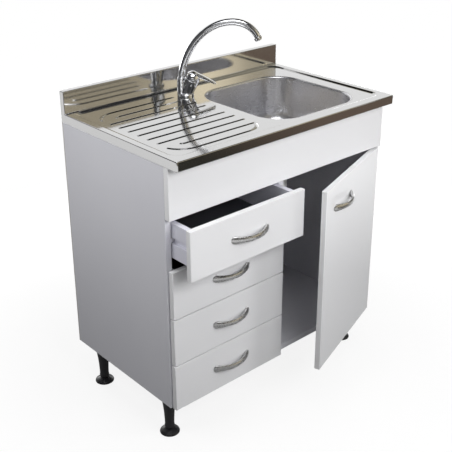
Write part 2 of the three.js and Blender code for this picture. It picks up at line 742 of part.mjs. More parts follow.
function makeTap() {
  const tap = new THREE.Group();
  tap.position.set(TAP_X, TAP_Y, FIELD_Z + SEAT_GAP);
  tap.rotation.z = THREE.MathUtils.degToRad(TAP_BEARING);
  unit.add(tap);
  const head = new THREE.Group(); // leans with the housing
  head.rotation.y = THREE.MathUtils.degToRad(HOUSING_LEAN);
  tap.add(head);
  const leaning = new THREE.Matrix4().makeRotationY(THREE.MathUtils.degToRad(HOUSING_LEAN));

  // Body: base, socket for the spout and the leaning housing, with the dome's seat bored out.
  const base = turned([
    [0, 0],
    [TAP_BASE_RADIUS, 0],
    [TAP_BASE_RADIUS, TAP_BASE_HEIGHT - 2],
    [TAP_BASE_RADIUS - 2, TAP_BASE_HEIGHT],
    [0, TAP_BASE_HEIGHT],
  ]);
  const socket = bar(SPOUT_SOCKET_RADIUS, -SPOUT_BACK, 0, 0, SPOUT_SOCKET_HEIGHT);
  const housingShape = new THREE.CylinderGeometry(
    HOUSING_TOP_RADIUS,
    HOUSING_FOOT_RADIUS,
    HOUSING_LENGTH,
    ROUND_STEPS,
  );
  housingShape.rotateX(Math.PI / 2).translate(0, 0, HOUSING_LENGTH / 2);
  const housing = solid(housingShape, leaning);
  const seat = bar(
    SPINDLE_RADIUS + SEAT_GAP,
    0,
    0,
    HOUSING_LENGTH - SPINDLE_DEPTH,
    HOUSING_LENGTH + 1,
  );
  const underDeck = block([-100, 100], [-100, 100], [-100, 0]);
  const spigotBore = bar(
    SPOUT_SPIGOT_RADIUS + SEAT_GAP,
    -SPOUT_BACK,
    0,
    SPOUT_SOCKET_HEIGHT - SPOUT_SPIGOT_DEPTH - 1,
    SPOUT_SOCKET_HEIGHT + 1,
  );
  const spoutRoom = bar(
    SPOUT_SOCKET_RADIUS + SPOUT_ROOM,
    -SPOUT_BACK,
    0,
    SPOUT_SOCKET_HEIGHT,
    SPOUT_SOCKET_HEIGHT + HOUSING_LENGTH,
  );
  const body = cut(
    join(base, socket, housing),
    underDeck,
    solid(geometryOf(seat), leaning),
    spigotBore,
    spoutRoom,
  );
  place(tap, "tap_body", body, materials.chrome);

  makeTapHead(head);
  makeSpout(tap);

  const shank = bar(SHANK_RADIUS, 0, 0, -SEAT_GAP - SHANK_LENGTH, -SEAT_GAP);
  const supplyHoles = [-1, 1].map((side) =>
    bar(4.5, 0, side * 7, -SHANK_LENGTH - 1, -SHANK_LENGTH + 30, 12),
  );
  place(tap, "tap_shank", cut(shank, ...supplyHoles), materials.zincSteel);
  const nutTop = -SHEET - 2 * SEAT_GAP;
  const nut = turned(
    closed([
      [SHANK_RADIUS + SEAT_GAP, nutTop - FIXING_NUT_HEIGHT],
      [FIXING_NUT_RADIUS, nutTop - FIXING_NUT_HEIGHT],
      [FIXING_NUT_RADIUS, nutTop],
      [SHANK_RADIUS + SEAT_GAP, nutTop],
    ]),
  );
  place(tap, "tap_fixing_nut", nut, materials.zincSteel);
}

/** Turning dome and lever, in the leaning frame of the housing. */
function makeTapHead(head) {
  // The lever's parts are made about the middle of its ball, where its pins are.
  const ball = new THREE.Group();
  ball.position.z = HOUSING_LENGTH + LEVER_RISE;
  head.add(ball);
  const ballOf = (radius) => solid(new THREE.SphereGeometry(radius, ROUND_STEPS, 14).rotateX(Math.PI / 2));
  const wide = [-4 * LEVER_RADIUS, 4 * LEVER_RADIUS];
  const deep = -4 * LEVER_RADIUS;

  // Dome: the ball above the housing, with a spindle down into it and a pin each side.
  const domeFoot = block(wide, wide, [deep, SEAT_GAP - LEVER_RISE]);
  const domeBall = cut(ballOf(LEVER_RADIUS - LEVER_SHELL - DOME_GAP), domeFoot);
  const spindle = bar(SPINDLE_RADIUS, 0, 0, SEAT_GAP - SPINDLE_DEPTH - LEVER_RISE, 0);
  const pinEnd = LEVER_RADIUS - DOME_GAP;
  const pins = barAlongY(LEVER_PIN_RADIUS, 0, 0, -pinEnd, pinEnd, 16);
  place(ball, "tap_dome", join(domeBall, spindle, pins), materials.chrome);

  // Lever: a hub cut on the slant behind, so that it can tip back, and a blade.
  const lifted = new THREE.Matrix4().makeRotationY(THREE.MathUtils.degToRad(LEVER_LIFT));
  const footZ = LEVER_FOOT_GAP - LEVER_RISE;
  const below = block(wide, wide, [deep, footZ]);
  const behind = block([deep, -2 * LEVER_PIN_RADIUS], wide, [deep, LEVER_BACK_CUT]);
  const pinHoles = barAlongY(
    LEVER_PIN_RADIUS + SEAT_GAP,
    0,
    0,
    -LEVER_RADIUS - 1,
    LEVER_RADIUS + 1,
    16,
  );
  const crown = LEVER_RADIUS - 1.5;
  const stations = [0.05, 0.16, 0.33, 0.6, 0.84, 0.95, 1];
  const bladeRings = stations.map((s) => {
    const top = crown - (crown - LEVER_TIP_HEIGHT) * s ** 1.6;
    const taper = LEVER_ROOT_WIDTH + (LEVER_TIP_WIDTH - LEVER_ROOT_WIDTH) * Math.sqrt(s);
    const halfWidth = (taper / 2) * (s > 0.9 ? 1 - (s - 0.9) * 2.6 : 1);
    const halfThickness = LEVER_BLADE / 2;
    const sides = 14;
    return Array.from({ length: sides }, (_, k) => {
      const angle = (2 * Math.PI * k) / sides;
      const droop = 1.4 * Math.cos(angle) ** 2;
      return new THREE.Vector3(
        LEVER_REACH * s,
        halfWidth * Math.cos(angle),
        top - halfThickness + halfThickness * Math.sin(angle) - droop,
      );
    });
  });
  const lever = cut(
    join(ballOf(LEVER_RADIUS), loft(bladeRings)),
    ballOf(LEVER_RADIUS - LEVER_SHELL),
    below,
    solid(geometryOf(below), lifted),
    solid(geometryOf(behind), lifted),
    pinHoles,
  );
  place(ball, "tap_lever", lever, materials.chrome);
}

function makeSpout(tap) {
  const line = spoutLine();
  const collarFoot = SPOUT_SOCKET_HEIGHT + SEAT_GAP;
  const collar = bar(
    SPOUT_SOCKET_RADIUS,
    -SPOUT_BACK,
    0,
    collarFoot,
    collarFoot + SPOUT_COLLAR_HEIGHT,
  );
  const spigot = bar(
    SPOUT_SPIGOT_RADIUS,
    -SPOUT_BACK,
    0,
    SPOUT_SOCKET_HEIGHT - SPOUT_SPIGOT_DEPTH,
    collarFoot + 1,
  );
  const sides = 18;
  const tube = tubeAlong(line, SPOUT_TUBE / 2, sides);
  const bore = tubeAlong(carriedOn(line, 3).slice(1), SPOUT_BORE / 2, sides);
  place(tap, "tap_spout", cut(join(collar, spigot, tube), bore), materials.chrome);

  // Aerator: a ring that screws onto the end of the spout.
  const end = line[line.length - 1];
  const along = new THREE.Vector3().subVectors(end, line[line.length - 2]).normalize();
  const turn = Math.atan2(along.x, along.z);
  const frame = new THREE.Matrix4()
    .makeTranslation(end.x, end.y, end.z)
    .multiply(new THREE.Matrix4().makeRotationY(turn));
  const ring = new THREE.LatheGeometry(
    closed([
      [AERATOR_BORE / 2 - 1.5, SEAT_GAP],
      [AERATOR_RADIUS - 1, SEAT_GAP],
      [AERATOR_RADIUS, SEAT_GAP + 1.5],
      [AERATOR_RADIUS, AERATOR_LENGTH],
      [AERATOR_BORE / 2, AERATOR_LENGTH],
      [AERATOR_BORE / 2, AERATOR_LENGTH - 5],
      [AERATOR_BORE / 2 - 1.5, AERATOR_LENGTH - 6],
    ]).map(([radius, height]) => new THREE.Vector2(radius, height)),
    ROUND_STEPS,
  ).rotateX(Math.PI / 2);
  place(tap, "spout_aerator", solid(ring, frame), materials.chrome);
}

// ---------------------------------------------------------------- carcass

function makeCarcass() {
  const depth = [CARCASS_FRONT, PANEL_BACK];
  const inner = CARCASS_INNER - SEAT_GAP;
  const heights = [CARCASS_BOTTOM, CARCASS_TOP];
  const left = block([-CARCASS_RIGHT, -CARCASS_INNER], depth, heights);
  const right = block([CARCASS_INNER, CARCASS_RIGHT], depth, heights);
  place(unit, "side_panel_left", left, materials.boardWhite);
  place(unit, "side_panel_right", right, materials.boardWhite);

  const bottom = block([-inner, inner], depth, [CARCASS_BOTTOM, BOTTOM_TOP]);
  place(unit, "bottom_panel", bottom, materials.boardWhite);

  const divider = block(
    [-DIVIDER_HALF, DIVIDER_HALF],
    depth,
    [BOTTOM_TOP + SEAT_GAP, RAIL_BOTTOM - SEAT_GAP],
  );
  place(unit, "divider_panel", divider, materials.boardWhite);

  const frontRail = block(
    [-inner, inner],
    [CARCASS_FRONT, CARCASS_FRONT + FRONT_RAIL_DEPTH],
    [RAIL_BOTTOM, RAIL_BOTTOM + FRONT_BOARD],
  );
  place(unit, "front_rail", frontRail, materials.boardWhite);

  const rearRail = block(
    [-inner, inner],
    [PANEL_BACK - BOARD, PANEL_BACK],
    [CARCASS_TOP - REAR_RAIL_HEIGHT, CARCASS_TOP],
  );
  place(unit, "rear_rail", rearRail, materials.boardWhite);

  const pipeHole = barAlongY(
    OUTLET_PIPE / 2 + PIPE_HOLE_CLEARANCE,
    BOWL_X,
    OUTLET_Z,
    CARCASS_BACK - 2 * BACK_BOARD,
    CARCASS_BACK + BACK_BOARD,
  );
  const back = block(
    [-CARCASS_RIGHT, CARCASS_RIGHT],
    [CARCASS_BACK - BACK_BOARD, CARCASS_BACK],
    heights,
  );
  place(unit, "back_panel", cut(back, pipeHole), materials.hardboard);

  const fascia = block(
    [-CARCASS_RIGHT, CARCASS_RIGHT],
    [FRONT_FACE_Y, CARCASS_FRONT - SEAT_GAP],
    [FASCIA_BOTTOM, CARCASS_TOP],
  );
  place(unit, "fascia_panel", fascia, materials.frontWhite);
}

// ---------------------------------------------------------------- legs and feet

function makeLegs() {
  const x = CARCASS_RIGHT - LEG_SIDE_INSET;
  const yFront = CARCASS_FRONT + LEG_END_INSET;
  const yBack = PANEL_BACK - LEG_END_INSET;
  const corners = [
    ["front_left", -x, yFront],
    ["front_right", x, yFront],
    ["rear_left", -x, yBack],
    ["rear_right", x, yBack],
  ];
  const legTop = CARCASS_BOTTOM - SEAT_GAP;
  const legFoot = FOOT_HEIGHT + LEG_TO_FOOT;
  const socketRadius = STUD_RADIUS + SEAT_GAP;
  const taper = legTop - legFoot;
  const span = LEG_TOP_RADIUS - LEG_FOOT_RADIUS;
  for (const [corner, cx, cy] of corners) {
    const group = new THREE.Group();
    group.position.set(cx, cy, 0);
    unit.add(group);
    const leg = turned([
      [0, legFoot + LEG_SOCKET_DEPTH],
      [socketRadius, legFoot + LEG_SOCKET_DEPTH],
      [socketRadius, legFoot],
      [LEG_FOOT_RADIUS, legFoot],
      [LEG_FOOT_RADIUS + span * 0.08, legFoot + taper * 0.3],
      [LEG_FOOT_RADIUS + span * 0.5, legFoot + taper * 0.68],
      [LEG_TOP_RADIUS, legTop],
      [0, legTop],
    ], 20);
    place(group, "leg_" + corner, leg, materials.blackPlastic);
    const foot = turned([
      [0, 0],
      [FOOT_RADIUS - 1, 0],
      [FOOT_RADIUS, FOOT_EDGE],
      [FOOT_RADIUS * 0.82, FOOT_HEIGHT * 0.6],
      [FOOT_RADIUS * 0.5, FOOT_HEIGHT * 0.92],
      [STUD_RADIUS + 2, FOOT_HEIGHT],
      [STUD_RADIUS, FOOT_HEIGHT],
      [STUD_RADIUS, FOOT_HEIGHT + STUD_LENGTH],
      [0, FOOT_HEIGHT + STUD_LENGTH],
    ], 20);
    place(group, "foot_" + corner, foot, materials.blackPlastic);
  }
}

// ---------------------------------------------------------------- fronts and handles

/** A front board from x0 to x1 with its back face at y = 0 and its face towards -Y. */
function frontBoard(x0, x1, z0, z1) {
  const shape = new THREE.Shape();
  const r = FRONT_EDGE_RADIUS;
  const y0 = -FRONT_BOARD;
  shape.moveTo(x0 + r, y0);
  shape.absarc(x1 - r, y0 + r, r, -Math.PI / 2, 0);
  shape.absarc(x1 - r, -r, r, 0, Math.PI / 2);
  shape.absarc(x0 + r, -r, r, Math.PI / 2, Math.PI);
  shape.absarc(x0 + r, y0 + r, r, Math.PI, 1.5 * Math.PI);
  const extruded = new THREE.ExtrudeGeometry(shape, {
    depth: z1 - z0,
    bevelEnabled: false,
    curveSegments: 3,
  });
  return solid(extruded.translate(0, 0, z0));
}

/** A bow handle centred on x = 0, z = 0, with its ends on a face at y = 0. */
function bowHandle() {
  const stations = 9;
  const rings = [];
  for (let i = 0; i < stations; i++) {
    const t = -1 + (2 * i) / (stations - 1);
    const rise = 1 - t * t;
    const centre = new THREE.Vector3((HANDLE_LENGTH / 2 - 8) * t, -HANDLE_REACH * rise, 0);
    centre.y += HANDLE_THICKNESS / 2;
    const slope = (2 * HANDLE_REACH * t) / (HANDLE_LENGTH / 2 - 8);
    const outward = new THREE.Vector3(slope, -1, 0).normalize();
    const ease = Math.abs(t) ** 3;
    const halfWidth = (HANDLE_WAIST + (HANDLE_END_WIDTH - HANDLE_WAIST) * ease) / 2;
    const halfThickness = (HANDLE_THICKNESS / 2) * (1 + 0.5 * ease);
    const sides = 10;
    rings.push(
      Array.from({ length: sides }, (_, k) => {
        const angle = (2 * Math.PI * k) / sides;
        return centre
          .clone()
          .addScaledVector(outward, halfThickness * Math.cos(angle))
          .add(new THREE.Vector3(0, 0, halfWidth * Math.sin(angle)));
      }),
    );
  }
  const behindFace = block(
    [-HANDLE_LENGTH, HANDLE_LENGTH],
    [-SEAT_GAP, HANDLE_REACH * 2],
    [-HANDLE_LENGTH, HANDLE_LENGTH],
  );
  return cut(loft(rings), behindFace);
}

// ---------------------------------------------------------------- drawers

/** Sides and back of a drawer in one wrap, grooved outside for the runners and inside for the bottom. */
function drawerBox(x0, x1, y0, y1, z0, z1) {
  const outer = block([x0, x1], [y0, y1], [z0, z1]);
  const room = block(
    [x0 + BOX_BOARD, x1 - BOX_BOARD],
    [y0 - 1, y1 - BOX_BOARD],
    [z0 - 1, z1 + 1],
  );
  const middle = (z0 + z1) / 2;
  const grooveZ = [middle - GROOVE_HEIGHT / 2, middle + GROOVE_HEIGHT / 2];
  const grooves = [
    block([x0 - 1, x0 + GROOVE_DEPTH], [y0 - 1, y1 + 1], grooveZ),
    block([x1 - GROOVE_DEPTH, x1 + 1], [y0 - 1, y1 + 1], grooveZ),
  ];
  const bottomZ = z0 + BOTTOM_ABOVE_EDGE;
  const bottomGroove = block(
    [x0 + BOX_BOARD - BOTTOM_GROOVE, x1 - BOX_BOARD + BOTTOM_GROOVE],
    [y0 - 1, y1 - BOX_BOARD + BOTTOM_GROOVE],
    [bottomZ, bottomZ + BOTTOM_BOARD + 2 * SEAT_GAP],
  );
  return cut(outer, room, ...grooves, bottomGroove);
}

function makeDrawers() {
  const frontX = [-FRONT_RIGHT, -FRONT_GAP / 2];
  const cellX = [-CARCASS_INNER, -DIVIDER_HALF];
  const boxX = [cellX[0] + BOX_SIDE_GAP, cellX[1] - BOX_SIDE_GAP];
  const boxY = [FRONT_REAR_Y + SEAT_GAP, PANEL_BACK - BOX_TO_BACK];
  const runnerHeight = GROOVE_HEIGHT - 2 * RUNNING_GAP;
  const runnerReach = BOX_SIDE_GAP + GROOVE_DEPTH - 2 * RUNNING_GAP;
  for (let row = 0; row < DRAWER_COUNT; row++) {
    const number = row + 1; // counted from the top
    const frontZ0 = FRONTS_TOP - row * DRAWER_PITCH - DRAWER_FRONT_HEIGHT;
    const frontZ1 = frontZ0 + DRAWER_FRONT_HEIGHT;
    const boxZ1 = frontZ1 - BOX_BELOW_FRONT_TOP;
    const boxZ0 = boxZ1 - BOX_HEIGHT;
    const drawer = new THREE.Group();
    drawer.position.y = row === 0 ? -TOP_DRAWER_OPEN : 0;
    unit.add(drawer);

    const front = frontBoard(frontX[0], frontX[1], frontZ0, frontZ1);
    const frontMesh = place(drawer, `drawer_${number}_front`, front, materials.frontWhite);
    frontMesh.position.y = FRONT_REAR_Y;

    const box = drawerBox(boxX[0], boxX[1], boxY[0], boxY[1], boxZ0, boxZ1);
    place(drawer, `drawer_${number}_box`, box, materials.drawerWhite);

    const bottomInset = BOX_BOARD - BOTTOM_GROOVE + SEAT_GAP;
    const bottomZ = boxZ0 + BOTTOM_ABOVE_EDGE + SEAT_GAP;
    const bottom = block(
      [boxX[0] + bottomInset, boxX[1] - bottomInset],
      [boxY[0], boxY[1] - bottomInset],
      [bottomZ, bottomZ + BOTTOM_BOARD],
    );
    place(drawer, `drawer_${number}_bottom`, bottom, materials.hardboard);

    const handle = place(drawer, `drawer_${number}_handle`, bowHandle(), materials.nickel);
    handle.position.set(
      (frontX[0] + frontX[1]) / 2,
      FRONT_FACE_Y,
      (frontZ0 + frontZ1) / 2 + HANDLE_RISE,
    );

    const runnerZ = [
      (boxZ0 + boxZ1) / 2 - runnerHeight / 2,
      (boxZ0 + boxZ1) / 2 + runnerHeight / 2,
    ];
    const runnerY = [CARCASS_FRONT + SEAT_GAP, PANEL_BACK - RUNNER_TO_BACK];
    const leftRunner = block([cellX[0] + SEAT_GAP, cellX[0] + runnerReach], runnerY, runnerZ);
    const rightRunner = block([cellX[1] - runnerReach, cellX[1] - SEAT_GAP], runnerY, runnerZ);
    place(unit, `runner_${number}_left`, leftRunner, materials.runnerPlastic);
    place(unit, `runner_${number}_right`, rightRunner, materials.runnerPlastic);
  }
}

// ---------------------------------------------------------------- door

function makeDoor() {
  // The door turns about its hinge pins, so its frame sits on that axis.
  const door = new THREE.Group();
  const pinX = FRONT_RIGHT - HINGE_PIN_EDGE;
  const pinY = FRONT_REAR_Y - HINGE_PIN_DEPTH;
  door.position.set(pinX, pinY, CARCASS_BOTTOM);
  door.rotation.z = THREE.MathUtils.degToRad(DOOR_OPEN);
  unit.add(door);

  const edgeX = HINGE_PIN_EDGE;
  const freeX = edgeX - FRONT_WIDTH;
  const backY = HINGE_PIN_DEPTH;
  const cupX = edgeX - HINGE_CUP_EDGE - HINGE_CUP_RADIUS;
  const hingeZ = [HINGE_FROM_END, DOOR_HEIGHT - HINGE_FROM_END];

  const cupBores = hingeZ.map((z) =>
    barAlongY(HINGE_CUP_RADIUS, cupX, z, backY - HINGE_CUP_DEPTH - SEAT_GAP, backY + 1, 28),
  );
  const board = frontBoard(freeX, edgeX, 0, DOOR_HEIGHT).translate([0, backY, 0]);
  place(door, "door_panel", cut(board, ...cupBores), materials.frontWhite);

  const handle = place(door, "door_handle", bowHandle(), materials.nickel);
  handle.position.set(
    freeX + DOOR_HANDLE_INSET,
    backY - FRONT_BOARD,
    DOOR_HEIGHT - DOOR_HANDLE_DROP,
  );

  ["lower", "upper"].forEach((which, i) => {
    const z = hingeZ[i];
    const cup = hingeCup(cupX, backY, z);
    place(door, `hinge_cup_${which}`, cup, materials.zincSteel);
    const arm = hingeArm(pinX, pinY, CARCASS_BOTTOM + z);
    place(unit, `hinge_arm_${which}`, arm, materials.zincSteel);
  });
}

/** The cup in the door, its flange on the door's back and the pin across it. */
function hingeCup(cupX, backY, z) {
  const outer = HINGE_CUP_RADIUS - SEAT_GAP;
  const inner = outer - HINGE_CUP_WALL;
  const floorY = backY - HINGE_CUP_DEPTH;
  const flangeBack = backY + SEAT_GAP + HINGE_FLANGE_SHEET;
  const flange = block(
    [cupX - HINGE_CUP_RADIUS * 0.75, cupX + HINGE_CUP_RADIUS * 0.75],
    [backY + SEAT_GAP, flangeBack],
    [z - HINGE_FLANGE / 2, z + HINGE_FLANGE / 2],
  );
  const shell = barAlongY(outer, cupX, z, floorY, backY + SEAT_GAP + HINGE_FLANGE_SHEET / 3, 28);
  const room = barAlongY(inner, cupX, z, floorY + HINGE_CUP_WALL, flangeBack + 1, 28);
  const pinSide = -cupX + HINGE_PIN_RADIUS; // outer side of the pin from the middle of the cup
  const halfPin = Math.sqrt((outer - HINGE_CUP_WALL / 5) ** 2 - pinSide ** 2);
  const pin = bar(HINGE_PIN_RADIUS, 0, 0, z - halfPin, z + halfPin, 12);
  return join(cut(join(flange, shell), room), pin);
}

/** The arm on the side panel: plate, block, and a crooked neck that ends in an eye round the pin. */
function hingeArm(pinX, pinY, z) {
  const half = HINGE_EYE_WIDTH / 2;
  const sheet = HINGE_ARM_SHEET / 2;
  const plateY0 = CARCASS_FRONT + HINGE_PLATE_SETBACK;
  const plateX1 = CARCASS_INNER - SEAT_GAP;
  const neckX = pinX - HINGE_NECK_OFFSET;
  const plate = block(
    [plateX1 - HINGE_PLATE, plateX1],
    [plateY0, plateY0 + HINGE_PLATE_LENGTH],
    [z - HINGE_PLATE_HEIGHT / 2, z + HINGE_PLATE_HEIGHT / 2],
  );
  const body = block(
    [neckX - sheet, plateX1 - HINGE_PLATE / 2],
    [CARCASS_FRONT + HINGE_PIN_DEPTH, plateY0 + HINGE_PLATE_LENGTH],
    [z - HINGE_BLOCK_HEIGHT / 2, z + HINGE_BLOCK_HEIGHT / 2],
  );
  const neck = block(
    [neckX - sheet, neckX + sheet],
    [pinY - sheet, CARCASS_FRONT + HINGE_PIN_DEPTH + 1],
    [z - half, z + half],
  );
  const finger = block([neckX - sheet, pinX], [pinY - sheet, pinY + sheet], [z - half, z + half]);
  const eye = bar(HINGE_EYE_RADIUS, pinX, pinY, z - half, z + half, 16);
  const eyeBore = bar(HINGE_PIN_RADIUS + SEAT_GAP, pinX, pinY, z - half - 1, z + half + 1, 16);
  return cut(join(plate, body, neck, finger, eye), eyeBore);
}

// ---------------------------------------------------------------- assembly

makeSinkTop();
makeWaste();
makeTap();
makeCarcass();
makeLegs();
makeDrawers();
makeDoor();

// The origin is on the floor, under the middle of the whole unit as it stands.
unit.updateMatrixWorld(true);
const extent = new THREE.Box3().setFromObject(unit, true);
const middle = extent.getCenter(new THREE.Vector3());
unit.position.set(-middle.x, -middle.y, -extent.min.z);

export default unit;
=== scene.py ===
# %% [markdown]
# # A kitchen sink unit
#
# This lesson dresses a packed sink unit: a pressed stainless top with a drainer and one bowl, a
# chrome mixer tap, and a white cabinet with four drawers and a door on four black legs. The packed
# model says where every piece sits and how it moves. Here each piece gets the shape and the finish
# that a visitor would see.

import json
import math

import bmesh
import bpy
from mathutils import Matrix, Vector

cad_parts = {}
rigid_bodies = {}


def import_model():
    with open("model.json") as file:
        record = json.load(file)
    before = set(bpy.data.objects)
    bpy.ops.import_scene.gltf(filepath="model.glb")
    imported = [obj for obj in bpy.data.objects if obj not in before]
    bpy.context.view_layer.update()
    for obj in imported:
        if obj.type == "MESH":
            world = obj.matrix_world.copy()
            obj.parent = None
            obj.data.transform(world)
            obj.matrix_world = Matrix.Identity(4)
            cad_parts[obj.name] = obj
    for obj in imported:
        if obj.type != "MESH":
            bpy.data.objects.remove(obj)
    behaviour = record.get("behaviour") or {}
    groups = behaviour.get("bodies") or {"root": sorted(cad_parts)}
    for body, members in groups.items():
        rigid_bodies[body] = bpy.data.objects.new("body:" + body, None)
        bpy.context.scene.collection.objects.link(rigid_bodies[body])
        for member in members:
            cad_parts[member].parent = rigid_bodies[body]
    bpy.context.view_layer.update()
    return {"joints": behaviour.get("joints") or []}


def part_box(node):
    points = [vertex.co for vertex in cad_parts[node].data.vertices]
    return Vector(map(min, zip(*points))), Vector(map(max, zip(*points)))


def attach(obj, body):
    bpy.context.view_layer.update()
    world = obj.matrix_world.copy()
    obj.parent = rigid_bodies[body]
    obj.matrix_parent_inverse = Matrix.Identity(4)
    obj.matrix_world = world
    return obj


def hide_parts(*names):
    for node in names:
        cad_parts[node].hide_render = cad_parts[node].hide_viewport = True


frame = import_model()
MM = 0.001


# %% [markdown]
# ## Camera
#
# The photograph was taken from the unit's front left, a little above the worktop. The position and
# the angles below were solved from the corners of the worktop and the fronts, whose real sizes are
# known. The picture's middle isn't where the lens points, so the camera has a small shift.

# %% Camera
PICTURE_WIDTH = 452
SENSOR_MM = 36.0
LENS_PIXELS = 849.08
CAMERA_PLACE = Vector((-1.523837, -1.638538, 1.559537))
CAMERA_BEARING = 0.7272265  # from +Y towards +X
CAMERA_TILT = -0.3982757
CAMERA_ROLL = -0.0032285
CAMERA_SHIFT = -41.0 / PICTURE_WIDTH

forward = Vector((
    math.sin(CAMERA_BEARING) * math.cos(CAMERA_TILT),
    math.cos(CAMERA_BEARING) * math.cos(CAMERA_TILT),
    math.sin(CAMERA_TILT),
))
level_right = Vector((math.cos(CAMERA_BEARING), -math.sin(CAMERA_BEARING), 0.0))
level_up = level_right.cross(forward)
right = level_right * math.cos(CAMERA_ROLL) + level_up * math.sin(CAMERA_ROLL)
up = level_up * math.cos(CAMERA_ROLL) - level_right * math.sin(CAMERA_ROLL)


def in_scene(name, data):
    """An object for the data, linked to the scene."""
    made = bpy.data.objects.new(name, data)
    bpy.context.scene.collection.objects.link(made)
    return made


camera_data = bpy.data.cameras.new("camera")
camera_data.sensor_width = SENSOR_MM
camera_data.lens = LENS_PIXELS * SENSOR_MM / PICTURE_WIDTH
camera_data.shift_y = CAMERA_SHIFT
camera = in_scene("camera", camera_data)
camera.matrix_world = Matrix.Translation(CAMERA_PLACE) @ Matrix((right, up, -forward)).transposed().to_4x4()
bpy.context.scene.camera = camera
print("lens", round(camera_data.lens, 2), "mm")


# %% [markdown]
# ## Helpers for shapes
#
# Most pieces are lofts: rows of points joined by faces. A turned piece is a loft of circles, a bent
# tube is a loft of circles along a path, and a pressed sheet is a loft of rounded rectangles. All
# helpers work in millimetres and hand over metres only when the mesh is made.

# %% Points and faces
def loft(rings, capped=False):
    """Points and faces through closed rings of equal length."""
    count = len(rings[0])
    points = [Vector(p) for ring in rings for p in ring]
    faces = []
    for start in range(0, len(points) - count, count):
        for i in range(count):
            j = (i + 1) % count
            faces.append((start + i, start + j, start + count + j, start + count + i))
    if capped:
        faces += [tuple(reversed(range(count))), tuple(range(len(points) - count, len(points)))]
    return points, faces


def circle(radius, height, sides):
    step = 2 * math.pi / sides
    return [(radius * math.cos(i * step), radius * math.sin(i * step), height) for i in range(sides)]


def moved(shape, matrix):
    points, faces = shape
    return [matrix @ Vector(p) for p in points], faces


def turned(profile, sides=48, place=None):
    """A shape turned about Z from (radius, height) points, moved to its place."""
    shape = loft([circle(r, z, sides) for r, z in profile])
    return shape if place is None else moved(shape, place)


def shifted(x, y, z):
    return Matrix.Translation((x, y, z))


def rotated(degrees, axis):
    return Matrix.Rotation(math.radians(degrees), 4, axis)


def together(*shapes):
    points, faces = [], []
    for more_points, more_faces in shapes:
        start = len(points)
        points += list(more_points)
        faces += [tuple(start + i for i in face) for face in more_faces]
    return points, faces


def rectangle(u0, u1, v0, v1):
    return [(u0, v0), (u1, v0), (u1, v1), (u0, v1)]


def box_shape(low, high):
    corners = rectangle(low[0], high[0], low[1], high[1])
    return loft([[(x, y, z) for x, y in corners] for z in (low[2], high[2])], capped=True)


def fillet(r0, z0, r1, z1, steps=6, hollow=False):
    """Quarter-round points of a profile from (r0, z0) to (r1, z1)."""
    points = []
    for i in range(steps + 1):
        angle = math.radians(90 * i / steps)
        first, second = 1 - math.cos(angle), math.sin(angle)
        if hollow:
            first, second = second, first
        points.append((r0 + (r1 - r0) * first, z0 + (z1 - z0) * second))
    return points


def rounded_ring(cx, cy, half_x, half_y, radius, z, corner_steps=10, side_steps=4):
    """A rounded rectangle, anticlockwise from the right end of its back side."""
    corners = []
    for quarter, (sx, sy) in enumerate(((1, 1), (-1, 1), (-1, -1), (1, -1))):
        middle = Vector((cx + sx * (half_x - radius), cy + sy * (half_y - radius), z))
        angles = [math.radians(90 * quarter + 90 * i / corner_steps) for i in range(corner_steps + 1)]
        corners.append([middle + radius * Vector((math.cos(a), math.sin(a), 0)) for a in angles])
    ring = []
    for corner, following in zip(corners, corners[1:] + corners[:1]):
        ring += corner + [corner[-1].lerp(following[0], i / side_steps) for i in range(1, side_steps)]
    return ring


print("a rounded ring has", len(rounded_ring(0, 0, 10, 10, 2, 0)), "points")


# %% Mesh objects
WELD = 0.004
FLAT = 0.9999


def creased(piece, angle):
    """Smooth shading, except at edges sharper than an angle in degrees."""
    for face in piece.data.polygons:
        face.use_smooth = True
    piece.data.set_sharp_from_angle(angle=math.radians(angle))
    return piece


def make_piece(name, shape, crease=32, weld=WELD):
    """A welded mesh object from points in millimetres."""
    points, faces = shape
    mesh = bpy.data.meshes.new(name)
    mesh.from_pydata([Vector(p) * MM for p in points], [], faces)
    bm = bmesh.new()
    bm.from_mesh(mesh)
    bmesh.ops.remove_doubles(bm, verts=bm.verts, dist=weld * MM)
    bmesh.ops.dissolve_degenerate(bm, edges=bm.edges, dist=weld / 2 * MM)
    bmesh.ops.recalc_face_normals(bm, faces=bm.faces)
    bm.to_mesh(mesh)
    bm.free()
    return creased(in_scene(name, mesh), crease)


def finish(piece, body, finish_material, nodes=()):
    """Gives a piece its material, the body it moves with and the nodes that it stands for."""
    piece.data.materials.clear()
    piece.data.materials.append(finish_material)
    if nodes:
        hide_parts(*nodes)
    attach(piece, body)
    return piece


def own_piece(node_name, shape, body, finish_material, crease=32):
    """A finished piece that stands for the node of its own name."""
    return finish(make_piece(node_name, shape, crease), body, finish_material, [node_name])


def from_bmesh(bm, name, smooth_easing=True):
    """An object from a bmesh in millimetres: faces square to an axis flat, the others smooth."""
    for face in bm.faces:
        face.smooth = smooth_easing and max(abs(c) for c in face.normal) < FLAT
    bmesh.ops.scale(bm, vec=(MM, MM, MM), verts=bm.verts)
    mesh = bpy.data.meshes.new(name)
    bm.to_mesh(mesh)
    bm.free()
    return in_scene(name, mesh)


def low_high(node_name):
    low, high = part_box(node_name)
    return low / MM, high / MM


def new_box(low, high):
    bm = bmesh.new()
    for vert in bmesh.ops.create_cube(bm, size=1.0)["verts"]:
        for axis in range(3):
            vert.co[axis] = low[axis] if vert.co[axis] < 0 else high[axis]
    return bm


def bevel_edges(bm, width, steps, wanted, **settings):
    """Bevels the edges that the test wanted(edge) picks."""
    edges = [e for e in bm.edges if wanted(e)]
    bmesh.ops.bevel(bm, geom=edges, offset=width, segments=steps, profile=0.5, affect="EDGES", **settings)


def sharper(edge, angle):
    return len(edge.link_faces) == 2 and edge.calc_face_angle() > angle


